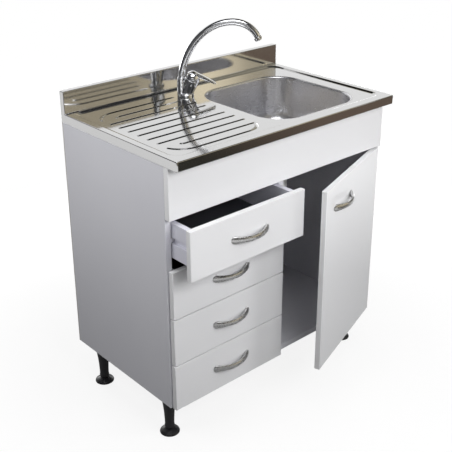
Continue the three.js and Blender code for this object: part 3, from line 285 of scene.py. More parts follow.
def board(name, low, high, edge):
    """A board with eased edges: big faces flat, the easing smooth."""
    bm = new_box(low, high)
    bevel_edges(bm, edge, 2, lambda e: True)
    return from_bmesh(bm, name)


print("mesh helpers ready")


# %% [markdown]
# ## Helpers for finishes
#
# Every finish is a Principled shader. What is the same all over the surface sits on the shader's own
# sockets; noise in object coordinates then adds the small unevenness that a real surface has.

# %% Material helpers
def put(node, **values):
    """Sets constant values on a node's inputs."""
    for socket, value in values.items():
        node.inputs[socket.replace("_", " ")].default_value = value
    return node


def new_finish(name, colour, roughness, metallic=0.0, **sockets):
    """A Principled material; returns the material, its node tree and the shader node."""
    made = bpy.data.materials.new(name)
    made.use_nodes = True
    shader = made.node_tree.nodes["Principled BSDF"]
    put(shader, Base_Color=(*colour, 1.0), Roughness=roughness, Metallic=metallic, **sockets)
    return made, made.node_tree, shader


def object_noise(tree, scale, stretch=(1, 1, 1), detail=3.0):
    """Noise in object coordinates, stretched along the axes."""
    where = tree.nodes.new("ShaderNodeTexCoord")
    mapping = put(tree.nodes.new("ShaderNodeMapping"), Scale=stretch)
    noise = put(tree.nodes.new("ShaderNodeTexNoise"), Scale=scale, Detail=detail)
    tree.links.new(where.outputs["Object"], mapping.inputs["Vector"])
    tree.links.new(mapping.outputs["Vector"], noise.inputs["Vector"])
    return noise.outputs["Fac"]


def ranged(tree, value, low, high, from_low=0.3, from_high=0.7):
    """Maps a value to a range; noise mostly lies between 0.3 and 0.7."""
    made = tree.nodes.new("ShaderNodeMapRange")
    put(made, From_Min=from_low, From_Max=from_high, To_Min=low, To_Max=high)
    tree.links.new(value, made.inputs["Value"])
    return made.outputs["Result"]


def bumped(tree, shader, height, distance, strength, under=None):
    """Puts a bump on the shader; a second call can be laid over the first."""
    bump = put(tree.nodes.new("ShaderNodeBump"), Distance=distance, Strength=strength)
    tree.links.new(height, bump.inputs["Height"])
    if under is not None:
        tree.links.new(under, bump.inputs["Normal"])
    tree.links.new(bump.outputs["Normal"], shader.inputs["Normal"])
    return bump.outputs["Normal"]


def tinted(tree, shader, value, dark, light, socket="Base Color"):
    """Runs a colour of the shader between two colours."""
    mix = tree.nodes.new("ShaderNodeMix")
    mix.data_type = "RGBA"
    put(mix, A=(*dark, 1.0), B=(*light, 1.0))
    tree.links.new(value, mix.inputs["Factor"])
    tree.links.new(mix.outputs["Result"], shader.inputs[socket])


def grained(name, colour, roughness, metallic=0.0, grain=(), rough=None, bump=None, tints=None, **sockets):
    """A finish with one noise, grain (scale, stretch, detail).

    The noise runs the roughness between the two values of rough, the colour between the two of
    tints, and lifts a bump of (distance in metres, strength).
    """
    made, tree, shader = new_finish(name, colour, roughness, metallic, **sockets)
    noise = object_noise(tree, *grain)
    if rough:
        tree.links.new(ranged(tree, noise, *rough), shader.inputs["Roughness"])
    if bump:
        bumped(tree, shader, noise, *bump)
    if tints:
        tinted(tree, shader, ranged(tree, noise, 0, 1), *tints)
    return made


EVEN = (1, 1, 1)
print("material helpers ready")


# %% [markdown]
# ## Steel and chrome
#
# The top is stainless sheet polished almost to a mirror, but pressed sheet is never quite flat, so a
# long, low bump bends its reflections. The bowl was drawn deeper and brushed afterwards, so it is
# satin and spreads the light; its colour is also set lighter and a little bluer than the top's steel,
# painted light for the bowl's bright, lavender highlights. Chrome is smooth and a little blue; the
# satin nickel of the handles and the zinc of the hinges are duller.

# %% Metal finishes
polished_steel, tree, shader = new_finish("polished_steel", (0.64, 0.64, 0.64), 0.07, 1.0)
rolling_grain = object_noise(tree, 60.0, (14, 0.7, 14), detail=2.0)
waves = bumped(tree, shader, object_noise(tree, 5.0, detail=1.0), 0.0012, 0.6)
bumped(tree, shader, rolling_grain, 0.00002, 0.25, waves)
tree.links.new(ranged(tree, rolling_grain, 0.06, 0.12), shader.inputs["Roughness"])
# The bowl's colour is lighter and bluer than the top's steel: painted light for its bright, lavender
# highlights.
satin_steel = grained(
    "satin_steel", (0.80, 0.80, 0.825), 0.28, 1.0,
    grain=(90.0, (1, 1, 12), 4.0), rough=(0.26, 0.32), bump=(0.00002, 0.25))
chrome = grained(
    "chrome", (0.86, 0.87, 0.89), 0.03, 1.0,
    grain=(30.0, EVEN, 1.0), rough=(0.02, 0.05), bump=(0.00012, 0.4))
satin_nickel = grained(
    "satin_nickel", (0.68, 0.68, 0.68), 0.26, 1.0,
    grain=(160.0, (0.5, 3, 3), 3.0), rough=(0.22, 0.34), bump=(0.00003, 0.4))
zinc_plate = grained(
    "zinc_plate", (0.62, 0.64, 0.67), 0.3, 1.0,
    grain=(70.0, EVEN, 4.0), rough=(0.24, 0.4), tints=((0.54, 0.56, 0.60), (0.68, 0.69, 0.70)))
print("metals:", polished_steel.name, satin_steel.name, chrome.name, satin_nickel.name, zinc_plate.name)


# %% [markdown]
# ## Boards and plastics
#
# The fronts wear a white gloss laminate with the faint orange peel that shows in long reflections.
# The carcass is white melamine with a fine grain, a little cooler than the fronts. Drawer boxes are
# foil-wrapped, and their bottoms are near black, painted shade for the dim inside of the drawers. The
# back is thin white-faced board, and the legs are moulded in black plastic.

# %% Board and plastic finishes
gloss_white = grained(
    "gloss_white", (0.86, 0.86, 0.875), 0.12, Coat_Weight=0.4, Coat_Roughness=0.05,
    grain=(55.0, EVEN, 2.0), rough=(0.1, 0.16), bump=(0.00012, 0.25))
melamine, tree, shader = new_finish("melamine", (0.74, 0.74, 0.79), 0.4)
cloud = ranged(tree, object_noise(tree, 3.0, detail=2.0), 0, 1)
tinted(tree, shader, cloud, (0.725, 0.725, 0.775), (0.755, 0.755, 0.80))
bumped(tree, shader, object_noise(tree, 900.0, (1, 1, 0.4), detail=2.0), 0.00004, 0.5)
thin_board = grained(
    "thin_board", (0.70, 0.69, 0.67), 0.55,
    grain=(300.0, EVEN, 5.0), bump=(0.00006, 0.5), tints=((0.66, 0.65, 0.63), (0.73, 0.72, 0.70)))
# Near-black board for the drawer bottoms: painted shade for the dim inside of a barely open drawer.
grey_board, tree, shader = new_finish("grey_board", (0.055, 0.055, 0.065), 0.5)
drawer_foil = grained(
    "drawer_foil", (0.72, 0.72, 0.80), 0.35,
    grain=(500.0, (1, 0.15, 1), 2.0), rough=(0.3, 0.42), bump=(0.00003, 0.5))
black_plastic = grained(
    "black_plastic", (0.016, 0.016, 0.018), 0.36,
    grain=(700.0, EVEN, 2.0), rough=(0.3, 0.45), bump=(0.00005, 0.5))
runner_plastic = grained(
    "runner_plastic", (0.78, 0.78, 0.80), 0.35, grain=(120.0, (1, 0.1, 1), 2.0), bump=(0.00004, 0.4))
pipe_plastic = grained(
    "pipe_plastic", (0.80, 0.80, 0.78), 0.3,
    grain=(200.0, EVEN, 2.0), rough=(0.26, 0.4), bump=(0.00005, 0.4))
print("boards and plastics ready")


# %% [markdown]
# ## The pressed top
#
# The worktop is one sheet: the front, the two ends and the back are folded down, the splashback is
# folded up, and a field is pressed down four millimetres so that water stays on it. The outside is
# first made as a plain prism whose edges are bevelled to the fold radius. Its flat top then loses
# its face and gets rings in its place: out on the rim, down the slope and onto the field.

# %% Sizes of the top
top_low, top_high = low_high("sink_top")
TOP_Z = 850.0
SKIRT = 26.0
RETURN_FOLD = 22.0
SPLASH_THICKNESS = 20.0
SHEET = 1.2
FIELD_DEPTH = 4.0
FIELD_SLOPE = 10.0
FIELD_CORNER = 34.0
FOLD_RADIUS = 1.8
CORNER_RADIUS = 5.0
COVE_RADIUS = 3.0
field_z = TOP_Z - FIELD_DEPTH
splash_front = top_high.y - SPLASH_THICKNESS
field_left, field_right = top_low.x + 18.0, top_high.x - 18.0
field_front, field_back = top_low.y + 28.0, splash_front - 3.0
BOWL_MIDDLE = Vector((156.0, top_high.y - 273.0, 0))
BOWL_HALF = Vector((175.0, 178.0, 0))
BOWL_CORNER = 90.0
BOWL_DEPTH = 150.0
BOWL_LIP = 6.0
BOWL_DRAFT = 14.0
BOWL_FLOOR_RADIUS = 46.0
WASTE_RADIUS = 44.0
TAP_PLACE = Vector((-36.0, top_high.y - 90.0, field_z + 0.3))
TAP_HOLE_RADIUS = 17.5
print("field", round(field_right - field_left), "by", round(field_back - field_front), "mm")


# %% The folded outside of the top
def big_face(bm, direction):
    facing = [f for f in bm.faces if f.normal.dot(direction) > 0.999]
    return max(facing, key=lambda f: f.calc_area())


def in_bmesh(shapes):
    """A bmesh of closed shapes, faces outwards."""
    bm = bmesh.new()
    for points, faces in shapes:
        verts = [bm.verts.new(p) for p in points]
        for face in faces:
            bm.faces.new([verts[i] for i in face])
    bmesh.ops.recalc_face_normals(bm, faces=bm.faces)
    return bm


def folded_top():
    """The bevelled prism with a return fold below, and no face on its deck."""
    skirt_foot = TOP_Z - SKIRT
    outline = [
        (top_low.y, skirt_foot), (top_low.y, TOP_Z), (splash_front, TOP_Z),
        (splash_front, top_high.z), (top_high.y, top_high.z), (top_high.y, skirt_foot),
    ]
    bm = in_bmesh([loft([[(x, y, z) for y, z in outline] for x in (top_low.x, top_high.x)], capped=True)])

    def at_splash_foot(e):
        return all(abs(v.co.y - splash_front) < 0.01 and abs(v.co.z - TOP_Z) < 0.01 for v in e.verts)

    def front_upright(e):
        at_front = all(abs(v.co.y - top_low.y) < 0.01 for v in e.verts)
        return at_front and abs(e.verts[0].co.x - e.verts[1].co.x) < 0.01

    bevel_edges(bm, COVE_RADIUS, 5, at_splash_foot)
    bevel_edges(bm, CORNER_RADIUS, 8, front_upright)
    bevel_edges(bm, FOLD_RADIUS, 4, lambda e: sharper(e, 1.0))
    down = Vector((0, 0, -1))
    bmesh.ops.inset_region(bm, faces=[big_face(bm, down)], thickness=RETURN_FOLD)
    bmesh.ops.delete(bm, geom=[big_face(bm, down)], context="FACES_ONLY")
    return bm


def new_ring(bm, ring):
    verts = [bm.verts.new(p) for p in ring]
    edges = [bm.edges.new((verts[i], verts[(i + 1) % len(verts)])) for i in range(len(verts))]
    return verts, edges


def fill_between(bm, edges, normal=(0, 0, 1)):
    bmesh.ops.triangle_fill(bm, use_beauty=True, edges=edges, normal=normal)


def field_ring(inset, z):
    return rounded_ring(
        (field_left + field_right) / 2, (field_front + field_back) / 2,
        (field_right - field_left) / 2 - inset, (field_back - field_front) / 2 - inset,
        FIELD_CORNER - inset / 2, z, 12, 6)


def bowl_ring(inset, z):
    return rounded_ring(
        BOWL_MIDDLE.x, BOWL_MIDDLE.y, BOWL_HALF.x - inset, BOWL_HALF.y - inset,
        BOWL_CORNER - inset, z, 16, 8)


def eased(t):
    return t * t * (3 - 2 * t)


def sheet_wall(piece, thickness):
    """Gives a surface the thickness of its sheet, inwards."""
    wall = piece.modifiers.new("sheet", "SOLIDIFY")
    wall.thickness = thickness * MM
    wall.offset = -1.0
    return piece


def make_top():
    bm = folded_top()
    deck = big_face(bm, Vector((0, 0, 1)))
    deck_edges = list(deck.edges)
    bmesh.ops.delete(bm, geom=[deck], context="FACES_ONLY")
    steps = 10
    slope = [(FIELD_SLOPE * i / steps, TOP_Z - FIELD_DEPTH * eased(i / steps)) for i in range(steps + 1)]
    previous, edges = new_ring(bm, field_ring(-1.0, TOP_Z))
    fill_between(bm, deck_edges + edges)
    for inset, z in slope + [(FIELD_SLOPE + 1.0, field_z)]:
        ring, edges = new_ring(bm, field_ring(inset, z))
        for i in range(len(ring)):
            j = (i + 1) % len(ring)
            bm.faces.new((previous[i], previous[j], ring[j], ring[i]))
        previous = ring
    edges += new_ring(bm, bowl_ring(-0.4, field_z))[1]
    tap_hole = [(TAP_PLACE.x + x, TAP_PLACE.y + y, field_z) for x, y, _ in circle(TAP_HOLE_RADIUS, 0, 32)]
    fill_between(bm, edges + new_ring(bm, tap_hole)[1])
    bmesh.ops.recalc_face_normals(bm, faces=bm.faces)
    if max(bm.faces, key=lambda f: f.calc_center_median().z).normal.z < 0:
        bmesh.ops.reverse_faces(bm, faces=bm.faces)
    return sheet_wall(from_bmesh(bm, "pressed_top"), SHEET)


pressed_top = finish(make_top(), "cabinet", polished_steel, ["sink_top"])
print("pressed top:", len(pressed_top.data.polygons), "faces")


# %% [markdown]
# ## The bowl
#
# The bowl starts where the field ends: a rolled lip, a wall that leans in a little, a wide round
# into the floor, and a floor that changes from a rounded square to the circle of the waste.

# %% Bowl
def bowl_rings():
    floor_z = field_z - BOWL_DEPTH
    wall_top = field_z - BOWL_LIP
    wall_foot = floor_z + BOWL_FLOOR_RADIUS
    foot_inset = BOWL_LIP + BOWL_DRAFT
    profile = fillet(0, field_z, BOWL_LIP, wall_top, 8, hollow=True)
    for i in range(1, 5):
        profile.append((BOWL_LIP + BOWL_DRAFT * i / 5, wall_top + (wall_foot - wall_top) * i / 5))
    profile += fillet(foot_inset, wall_foot, foot_inset + BOWL_FLOOR_RADIUS, floor_z, 12)
    rings = [bowl_ring(inset, z) for inset, z in profile]
    last = rings[-1]
    seat = []
    for p in last:
        angle = math.atan2(p.y - BOWL_MIDDLE.y, p.x - BOWL_MIDDLE.x)
        outward = Vector((math.cos(angle), math.sin(angle), 0))
        seat.append(BOWL_MIDDLE + WASTE_RADIUS * outward + Vector((0, 0, floor_z)))
    return rings + [[a.lerp(b, i / 5) for a, b in zip(last, seat)] for i in range(1, 6)]


bowl = make_piece("bowl", loft(bowl_rings()), crease=60)
if min(bowl.data.polygons, key=lambda f: f.center.z).normal.z < 0:
    bowl.data.flip_normals()
finish(sheet_wall(bowl, SHEET), "cabinet", satin_steel, ["sink_bowl"])
print("bowl:", len(bowl.data.polygons), "faces")


# %% [markdown]
# ## Drainer ribs
#
# Ten ribs run across the drainer; the outer two on each side turn round its corners. Each is the
# same low, rounded section carried along a path, which is what Geometry Nodes does well: the tree
# builds the section from two named sizes, sweeps it along the path curves and lets it run out to
# nothing at both ends.

# %% Paths of the ribs
RIB_COUNT = 10
RIB_PITCH = 40.0
DRAINER_CORNER = 60.0
POINT_SPACING = 3.0
drainer_left = top_low.x + 48.0
drainer_right = drainer_left + 296.0
drainer_front = top_low.y + 58.0


def arc_points(edge_x, side, y, radius, degrees, towards_middle):
    points = []
    steps = 14
    for i in range(steps + 1):
        angle = math.radians(degrees * i / steps)
        x = edge_x - side * (DRAINER_CORNER - radius * math.sin(angle))
        points.append(Vector((x, y + towards_middle * radius * (1 - math.cos(angle)), field_z)))
    return points


def rib_path(row):
    """The path of one rib, counted from the front; some stop short of the tap."""
    y = drainer_front + RIB_PITCH * row
    near_tap = abs(y - TAP_PLACE.y) < 43.0
    end_x = TAP_PLACE.x - 39.0 if near_tap else drainer_right
    end = Vector((end_x, y, field_z))
    depth_in = min(row, RIB_COUNT - 1 - row)
    if depth_in > 1:
        return [Vector((drainer_left, y, field_z)), end]
    bend = DRAINER_CORNER - depth_in * RIB_PITCH, (75.0, 50.0)[depth_in], 1 if row < RIB_COUNT / 2 else -1
    left_end = arc_points(drainer_left, -1, y, *bend)[::-1]
    if near_tap or depth_in > 0:
        return left_end + [end]
    return left_end + arc_points(end_x, 1, y, *bend)


def path_curve(name, paths):
    """A curve object with one polyline for each path, its points evenly close."""
    data = bpy.data.curves.new(name, "CURVE")
    data.dimensions = "3D"
    for path in paths:
        points = [path[0]]
        for a, b in zip(path, path[1:]):
            parts = max(1, round((b - a).length / POINT_SPACING))
            points += [a.lerp(b, i / parts) for i in range(1, parts + 1)]
        spline = data.splines.new("POLY")
        spline.points.add(len(points) - 1)
        for target, p in zip(spline.points, points):
            target.co = (*(p * MM), 1.0)
    return in_scene(name, data)


rib_paths = path_curve("drainer_ribs_paths", [rib_path(row) for row in range(RIB_COUNT)])
print(len(rib_paths.data.splines), "rib paths")


# %% Helpers for Geometry Nodes
def new_tree(name, **inputs):
    """An empty tree with named inputs; returns the tree, its nodes for input and output."""
    tree = bpy.data.node_groups.new(name, "GeometryNodeTree")
    for way in ("INPUT", "OUTPUT"):
        tree.interface.new_socket("Geometry", in_out=way, socket_type="NodeSocketGeometry")
    for label, kind in inputs.items():
        tree.interface.new_socket(label.replace("_", " "), in_out="INPUT", socket_type="NodeSocket" + kind)
    return tree, tree.nodes.new("NodeGroupInput"), tree.nodes.new("NodeGroupOutput")


def node(tree, kind, **settings):
    made = tree.nodes.new(kind)
    for key, value in settings.items():
        setattr(made, key, value)
    return made


def fed(tree, kind, feeds, **settings):
    """A new node whose inputs are fed by the given sockets."""
    made = node(tree, kind, **settings)
    for label, socket in feeds.items():
        tree.links.new(socket, made.inputs[label])
    return made


def maths(tree, operation, a, b=None):
    """A Math node; a and b are sockets or numbers."""
    made = node(tree, "ShaderNodeMath", operation=operation)
    for i, value in enumerate((a, b)):
        if isinstance(value, (int, float)):
            made.inputs[i].default_value = value
        elif value is not None:
            tree.links.new(value, made.inputs[i])
    return made.outputs[0]


def hand_over(tree, given, result, geometry):
    """Ends a tree: real geometry in the finish that was given."""
    real = fed(tree, "GeometryNodeRealizeInstances", {"Geometry": geometry})
    coated = fed(tree, "GeometryNodeSetMaterial", {
        "Geometry": real.outputs["Geometry"], "Material": given.outputs["Finish"]})
    tree.links.new(coated.outputs["Geometry"], result.inputs["Geometry"])
    return tree


def modifier_result(name, source):
    """The evaluated mesh of an object with modifiers, as a new plain object in its place."""
    evaluated = source.evaluated_get(bpy.context.evaluated_depsgraph_get())
    mesh = bpy.data.meshes.new_from_object(evaluated)
    mesh.name = name
    made = in_scene(name, mesh)
    source.modifiers.clear()
    bpy.data.objects.remove(source)
    return made


def plain_mesh(name, source, tree, values):
    """Runs a tree on an object, with its named inputs set by their identifiers."""
    modifier = source.modifiers.new("tree", "NODES")
    modifier.node_group = tree
    for item in tree.interface.items_tree:
        if item.item_type == "SOCKET" and item.in_out == "INPUT" and item.name in values:
            modifier[item.identifier] = values[item.name]
    return modifier_result(name, source)


print("tree helpers ready")


# %% The rib tree
def rib_tree():
    tree, given, result = new_tree(
        "raised_ribs", Rib_Width="Float", Rib_Height="Float", Run_Out="Float", Finish="Material")

    def calc(operation, a, b=None):
        return maths(tree, operation, a, b)

    # The section: half a cosine wave, so that the rib leaves the sheet without an edge.
    section_points = 15
    line = put(node(tree, "GeometryNodeMeshLine"), Count=section_points)
    share = calc("DIVIDE", node(tree, "GeometryNodeInputIndex").outputs[0], section_points - 1.0)
    centred = calc("SUBTRACT", share, 0.5)
    wave = calc("COSINE", calc("MULTIPLY", centred, 2 * math.pi))
    lifted = calc("MULTIPLY", calc("ADD", wave, 1.0), 0.5)
    # A section's own Y axis points down on a Z-up curve.
    place = fed(tree, "ShaderNodeCombineXYZ", {
        "X": calc("MULTIPLY", centred, given.outputs["Rib Width"]),
        "Y": calc("MULTIPLY", calc("MULTIPLY", lifted, given.outputs["Rib Height"]), -1.0)})
    shaped = fed(tree, "GeometryNodeSetPosition", {
        "Geometry": line.outputs["Mesh"], "Position": place.outputs["Vector"]})
    section = fed(tree, "GeometryNodeMeshToCurve", {"Mesh": shaped.outputs["Geometry"]})
    closed = fed(tree, "GeometryNodeSetSplineCyclic", {"Geometry": section.outputs["Curve"]})
    put(closed, Cyclic=True)
    # The ends: the section's scale falls like a quarter circle over the run-out length.
    along = node(tree, "GeometryNodeSplineParameter").outputs["Length"]
    length = node(tree, "GeometryNodeSplineLength").outputs["Length"]
    near = calc("MINIMUM", along, calc("SUBTRACT", length, along))
    part = calc("MINIMUM", calc("DIVIDE", near, given.outputs["Run Out"]), 1.0)
    missing = calc("SUBTRACT", 1.0, part)
    scale = calc("SQRT", calc("SUBTRACT", 1.0, calc("MULTIPLY", missing, missing)))
    upright = fed(tree, "GeometryNodeSetCurveNormal", {"Curve": given.outputs["Geometry"]}, mode="Z_UP")
    sweep = fed(tree, "GeometryNodeCurveToMesh", {
        "Curve": upright.outputs["Curve"], "Profile Curve": closed.outputs["Geometry"],
        "Scale": calc("MAXIMUM", scale, 0.02)})
    put(sweep, Fill_Caps=True)
    return hand_over(tree, given, result, sweep.outputs["Mesh"])


ribs = plain_mesh("drainer_ribs", rib_paths, rib_tree(), {
    "Rib Width": 9.5 * MM,
    "Rib Height": 2.0 * MM,
    "Run Out": 6.0 * MM,
    "Finish": polished_steel,
})
heights = [v.co.z / MM for v in ribs.data.vertices]
print("ribs:", len(ribs.data.polygons), "faces,", round(max(heights) - field_z, 2), "mm above the field")
finish(ribs, "cabinet", polished_steel)


# %% [markdown]
# ## Mixer tap: body and dome
#
# The body is one chromed casting: a round foot, a short upright socket for the spout and a housing
# that leans over the bowl. Where cast forms meet they run into each other. Separate solids would
# meet in hard lines, so they are merged by a fine remesh and then smoothed a little.

# %% Places on the tap
TAP_BEARING = -42.0
HOUSING_LEAN = 21.0
HOUSING_LENGTH = 49.0
SPOUT_BACK = 14.0
SOCKET_HEIGHT = 44.0
BALL_RADIUS = 22.0
BALL_RISE = 5.0
tap_frame = Matrix.Translation(TAP_PLACE) @ rotated(TAP_BEARING, "Z")
head_frame = tap_frame @ rotated(HOUSING_LEAN, "Y")
ball_frame = head_frame @ shifted(0, 0, HOUSING_LENGTH + BALL_RISE)
spout_frame = tap_frame @ shifted(-SPOUT_BACK, 0, 0)


def cast_together(name, shape, voxel, rounds):
    """Merges overlapping solids into one smooth casting."""
    rough = make_piece(name + "_rough", shape)
    remesh = rough.modifiers.new("merge", "REMESH")
    remesh.mode = "VOXEL"
    remesh.voxel_size = voxel * MM
    soften = rough.modifiers.new("soften", "SMOOTH")
    soften.factor = 0.5
    soften.iterations = rounds
    made = modifier_result(name, rough)
    for face in made.data.polygons:
        face.use_smooth = True
    return made


print("tap stands at", [round(c, 1) for c in TAP_PLACE])

# %% Body and dome
DOME_RADIUS = 18.9
DOME_SPAN = 105.0
rosette = [(0, 0), (23, 0), (23, 3.4)] + fillet(23, 3.4, 20.6, 6.6)[1:] + [(0, 7.4)]
socket = [(0, 1), (11.2, 1), (11.2, SOCKET_HEIGHT - 1)]
socket += fillet(11.2, SOCKET_HEIGHT - 1, 10.4, SOCKET_HEIGHT)[1:] + [(0, SOCKET_HEIGHT)]
housing = [(0, 4), (17.3, 4), (21.5, HOUSING_LENGTH - 1.2)]
housing += fillet(21.5, HOUSING_LENGTH - 1.2, 20.3, HOUSING_LENGTH)[1:] + [(0, HOUSING_LENGTH)]
finish(make_piece("tap_foot", turned(rosette, 96, tap_frame)), "cabinet", chrome, ["tap_body"])
casting = cast_together("tap_casting", together(
    turned(socket, 64, spout_frame),
    turned(housing, 96, head_frame),
    turned([(0, 3), (20.2, 3), (19.0, 8.5), (0, 10)], 96, tap_frame),
), 0.55, 7)
finish(casting, "cabinet", chrome, ["tap_body"])

dome = [(0, DOME_RADIUS)]
for i in range(1, 25):
    angle = math.radians(90 - DOME_SPAN * i / 24)
    dome.append((DOME_RADIUS * math.cos(angle), DOME_RADIUS * math.sin(angle)))
dome += [(9, -BALL_RISE + 0.3), (9, -BALL_RISE - 15.7), (0, -BALL_RISE - 15.7)]
cross_pin = [(0, -21.4), (1.6, -21.4), (2.4, -20.6), (2.4, 20.6), (1.6, 21.4), (0, 21.4)]
own_piece("tap_dome", together(
    turned(dome, 64, ball_frame),
    turned(cross_pin, 32, ball_frame @ rotated(90, "X")),
), "lever_dome", chrome)
print("casting:", len(casting.data.polygons), "faces")


# %% [markdown]
# ## Lever
#
# The lever is a hollow ball-shaped hub with a flat blade growing out of it, in one chromed casting.
# Hub and blade are merged like the body. Then the hub is hollowed, and cut flat below and on the
# slant behind, so that the lever can tip back over the dome.

# %% Lever
LEVER_REACH = 68.0
LEVER_LIFT = 25.0
BLADE_ROOT_WIDTH = 33.0
BLADE_TIP_WIDTH = 23.0
BLADE_TIP_HEIGHT = 12.5
TIP_ROUND = 9.0
HUB_BORE_RADIUS = 19.4


def rounded_off(t):
    """Rises like a quarter circle from 0 to 1."""
    return math.sqrt(max(0.0, 1.0 - (1.0 - t) ** 2))


def oval(count, flat_c, flat_n):
    """Directions round an oval as (cosine, sine) with their sizes raised to a power, and the cosine."""
    for i in range(count):
        angle = 2 * math.pi * i / count
        c, n = math.cos(angle), math.sin(angle)
        yield math.copysign(abs(c) ** flat_c, c), math.copysign(abs(n) ** flat_n, n), c


def blade_shape():
    rings = []
    stations = 26
    crown = BALL_RADIUS - 1.5
    for k in range(stations + 1):
        s = 0.02 + 0.98 * math.sin(math.radians(90 * k / stations))
        top = crown - (crown - BLADE_TIP_HEIGHT) * s ** 1.6
        taper = BLADE_ROOT_WIDTH + (BLADE_TIP_WIDTH - BLADE_ROOT_WIDTH) * math.sqrt(s)
        closing = rounded_off(min(1.0, (1.0 - s) * LEVER_REACH / TIP_ROUND))
        half_width = taper / 2 * (0.55 + 0.45 * closing)
        half_depth = 6.6 - 4.2 * s
        half_thickness = half_depth * (0.45 + 0.55 * closing)
        ring = []
        for across, above, c in oval(40, 0.75, 0.85):
            droop = 1.4 * c * c
            side = half_width * across * (0.94 - 0.06 * above)
            ring.append((LEVER_REACH * s, side, top - half_depth + half_thickness * above - droop))
        rings.append(ring)
    return loft(rings, capped=True)


def ball_shape(radius, rows=48, sides=96):
    angles = [math.radians(-90 + 180 * i / rows) for i in range(rows + 1)]
    return turned([(radius * math.cos(a), radius * math.sin(a)) for a in angles], sides)


def cut_away(piece, cutters):
    """Takes cutter shapes (points and faces) away from a piece and returns the plain result."""
    name = piece.name
    helpers = [make_piece(f"{name}_cutter_{i}", shape) for i, shape in enumerate(cutters)]
    for helper in helpers:
        cut = piece.modifiers.new("cut", "BOOLEAN")
        cut.operation = "DIFFERENCE"
        cut.solver = "EXACT"
        cut.object = helper
    piece.name = name + "_uncut"
    made = modifier_result(name, piece)
    for helper in helpers:
        bpy.data.objects.remove(helper)
    return made


hub_and_blade = moved(together(ball_shape(BALL_RADIUS), blade_shape()), ball_frame)
lever = cast_together("tap_lever", hub_and_blade, 0.6, 6)
tipped = ball_frame @ rotated(LEVER_LIFT, "Y")
foot_cut = box_shape((-90, -90, -90), (90, 90, 0.8 - BALL_RISE))
back_cut = box_shape((-90, -90, -90), (-4.8, 90, 2.5))
pin_hole = turned([(0, -30), (2.7, -30), (2.7, 30), (0, 30)], 32, rotated(90, "X"))
lever = cut_away(lever, [
    moved(ball_shape(HUB_BORE_RADIUS, 32, 64), ball_frame),
    moved(foot_cut, ball_frame),
    moved(foot_cut, tipped),
    moved(back_cut, tipped),
    moved(pin_hole, ball_frame),
])
finish(creased(lever, 34), "lever", chrome, ["tap_lever"])
print("lever:", len(lever.data.polygons), "faces")


# %% [markdown]
# ## Spout and aerator
#
# The spout is a bent tube. Its middle line rises in one long curve to the top and falls in a
# shorter one. A round section is carried along that line, outside and inside, so the end is a real
# ring with a bore. The aerator screwed on it has a fine grip and a sieve inside.

# %% Spout
SPOUT_RADIUS = 9.84
SPOUT_BORE_RADIUS = 7.5
SPOUT_SIDES = 40
RISE_START = 25.0
RISE_REACH = 147.0
SPOUT_APEX = 213.0
FALL_REACH = 75.0
FALL_DROP = 60.0
FALL_SPAN = 72.0


def spout_line():
    points = []
    rise_steps, fall_steps = 44, 30
    climb = SPOUT_APEX - RISE_START
    first = math.asin((SOCKET_HEIGHT + 3 - RISE_START) / climb)
    for i in range(rise_steps + 1):
        angle = first + (math.pi / 2 - first) * i / rise_steps
        x = -SPOUT_BACK + RISE_REACH * (1 - math.cos(angle))
        points.append(Vector((x, 0, RISE_START + climb * math.sin(angle))))
    for i in range(1, fall_steps + 1):
        angle = math.radians(FALL_SPAN * i / fall_steps)
        x = -SPOUT_BACK + RISE_REACH + FALL_REACH * math.sin(angle)
        points.append(Vector((x, 0, SPOUT_APEX - FALL_DROP * (1 - math.cos(angle)))))
    return points


def line_direction(line, i):
    return (line[min(i + 1, len(line) - 1)] - line[max(i - 1, 0)]).normalized()


def section_ring(line, i, radius):
    across = Vector((0, 1, 0))
    upward = line_direction(line, i).cross(across)
    return [line[i] + x * across + y * upward for x, y, _ in circle(radius, 0, SPOUT_SIDES)]


line = spout_line()
last = len(line) - 1
rings = [section_ring(line, i, SPOUT_RADIUS) for i in range(last + 1)]
rings += [section_ring(line, last, r) for r in (9.2, SPOUT_BORE_RADIUS)]
rings += [section_ring(line, i, SPOUT_BORE_RADIUS) for i in range(last - 1, 0, -2)]
collar = [(0, 30), (8.2, 30), (8.2, 44.3), (10.4, 44.3), (11.2, 45.1), (11.2, 52.3)]
collar += fillet(11.2, 52.3, 10.0, 53.3)[1:] + [(0, 54)]
own_piece("tap_spout", together(
    moved(loft(rings, capped=True), tap_frame), turned(collar, 64, spout_frame)), "spout", chrome)
print("spout line is", round(sum((b - a).length for a, b in zip(line, line[1:]))), "mm long")

# %% Aerator
along = line_direction(line, last)
spout_end_tilt = Matrix.Rotation(math.atan2(along.x, along.z), 4, "Y")
aerator_frame = tap_frame @ Matrix.Translation(line[last]) @ spout_end_tilt


def gripped(profile, sides, teeth, depth, low, high):
    """A turned shape whose radius has fine teeth between two heights."""
    rings = []
    for r, z in profile:
        ring = []
        for i in range(sides):
            angle = 2 * math.pi * i / sides
            tooth = 0.5 - 0.5 * math.cos(teeth * angle)
            inside = r - (depth * tooth if low <= z <= high else 0.0)
            ring.append((inside * math.cos(angle), inside * math.sin(angle), z))
        rings.append(ring)
    return loft(rings)


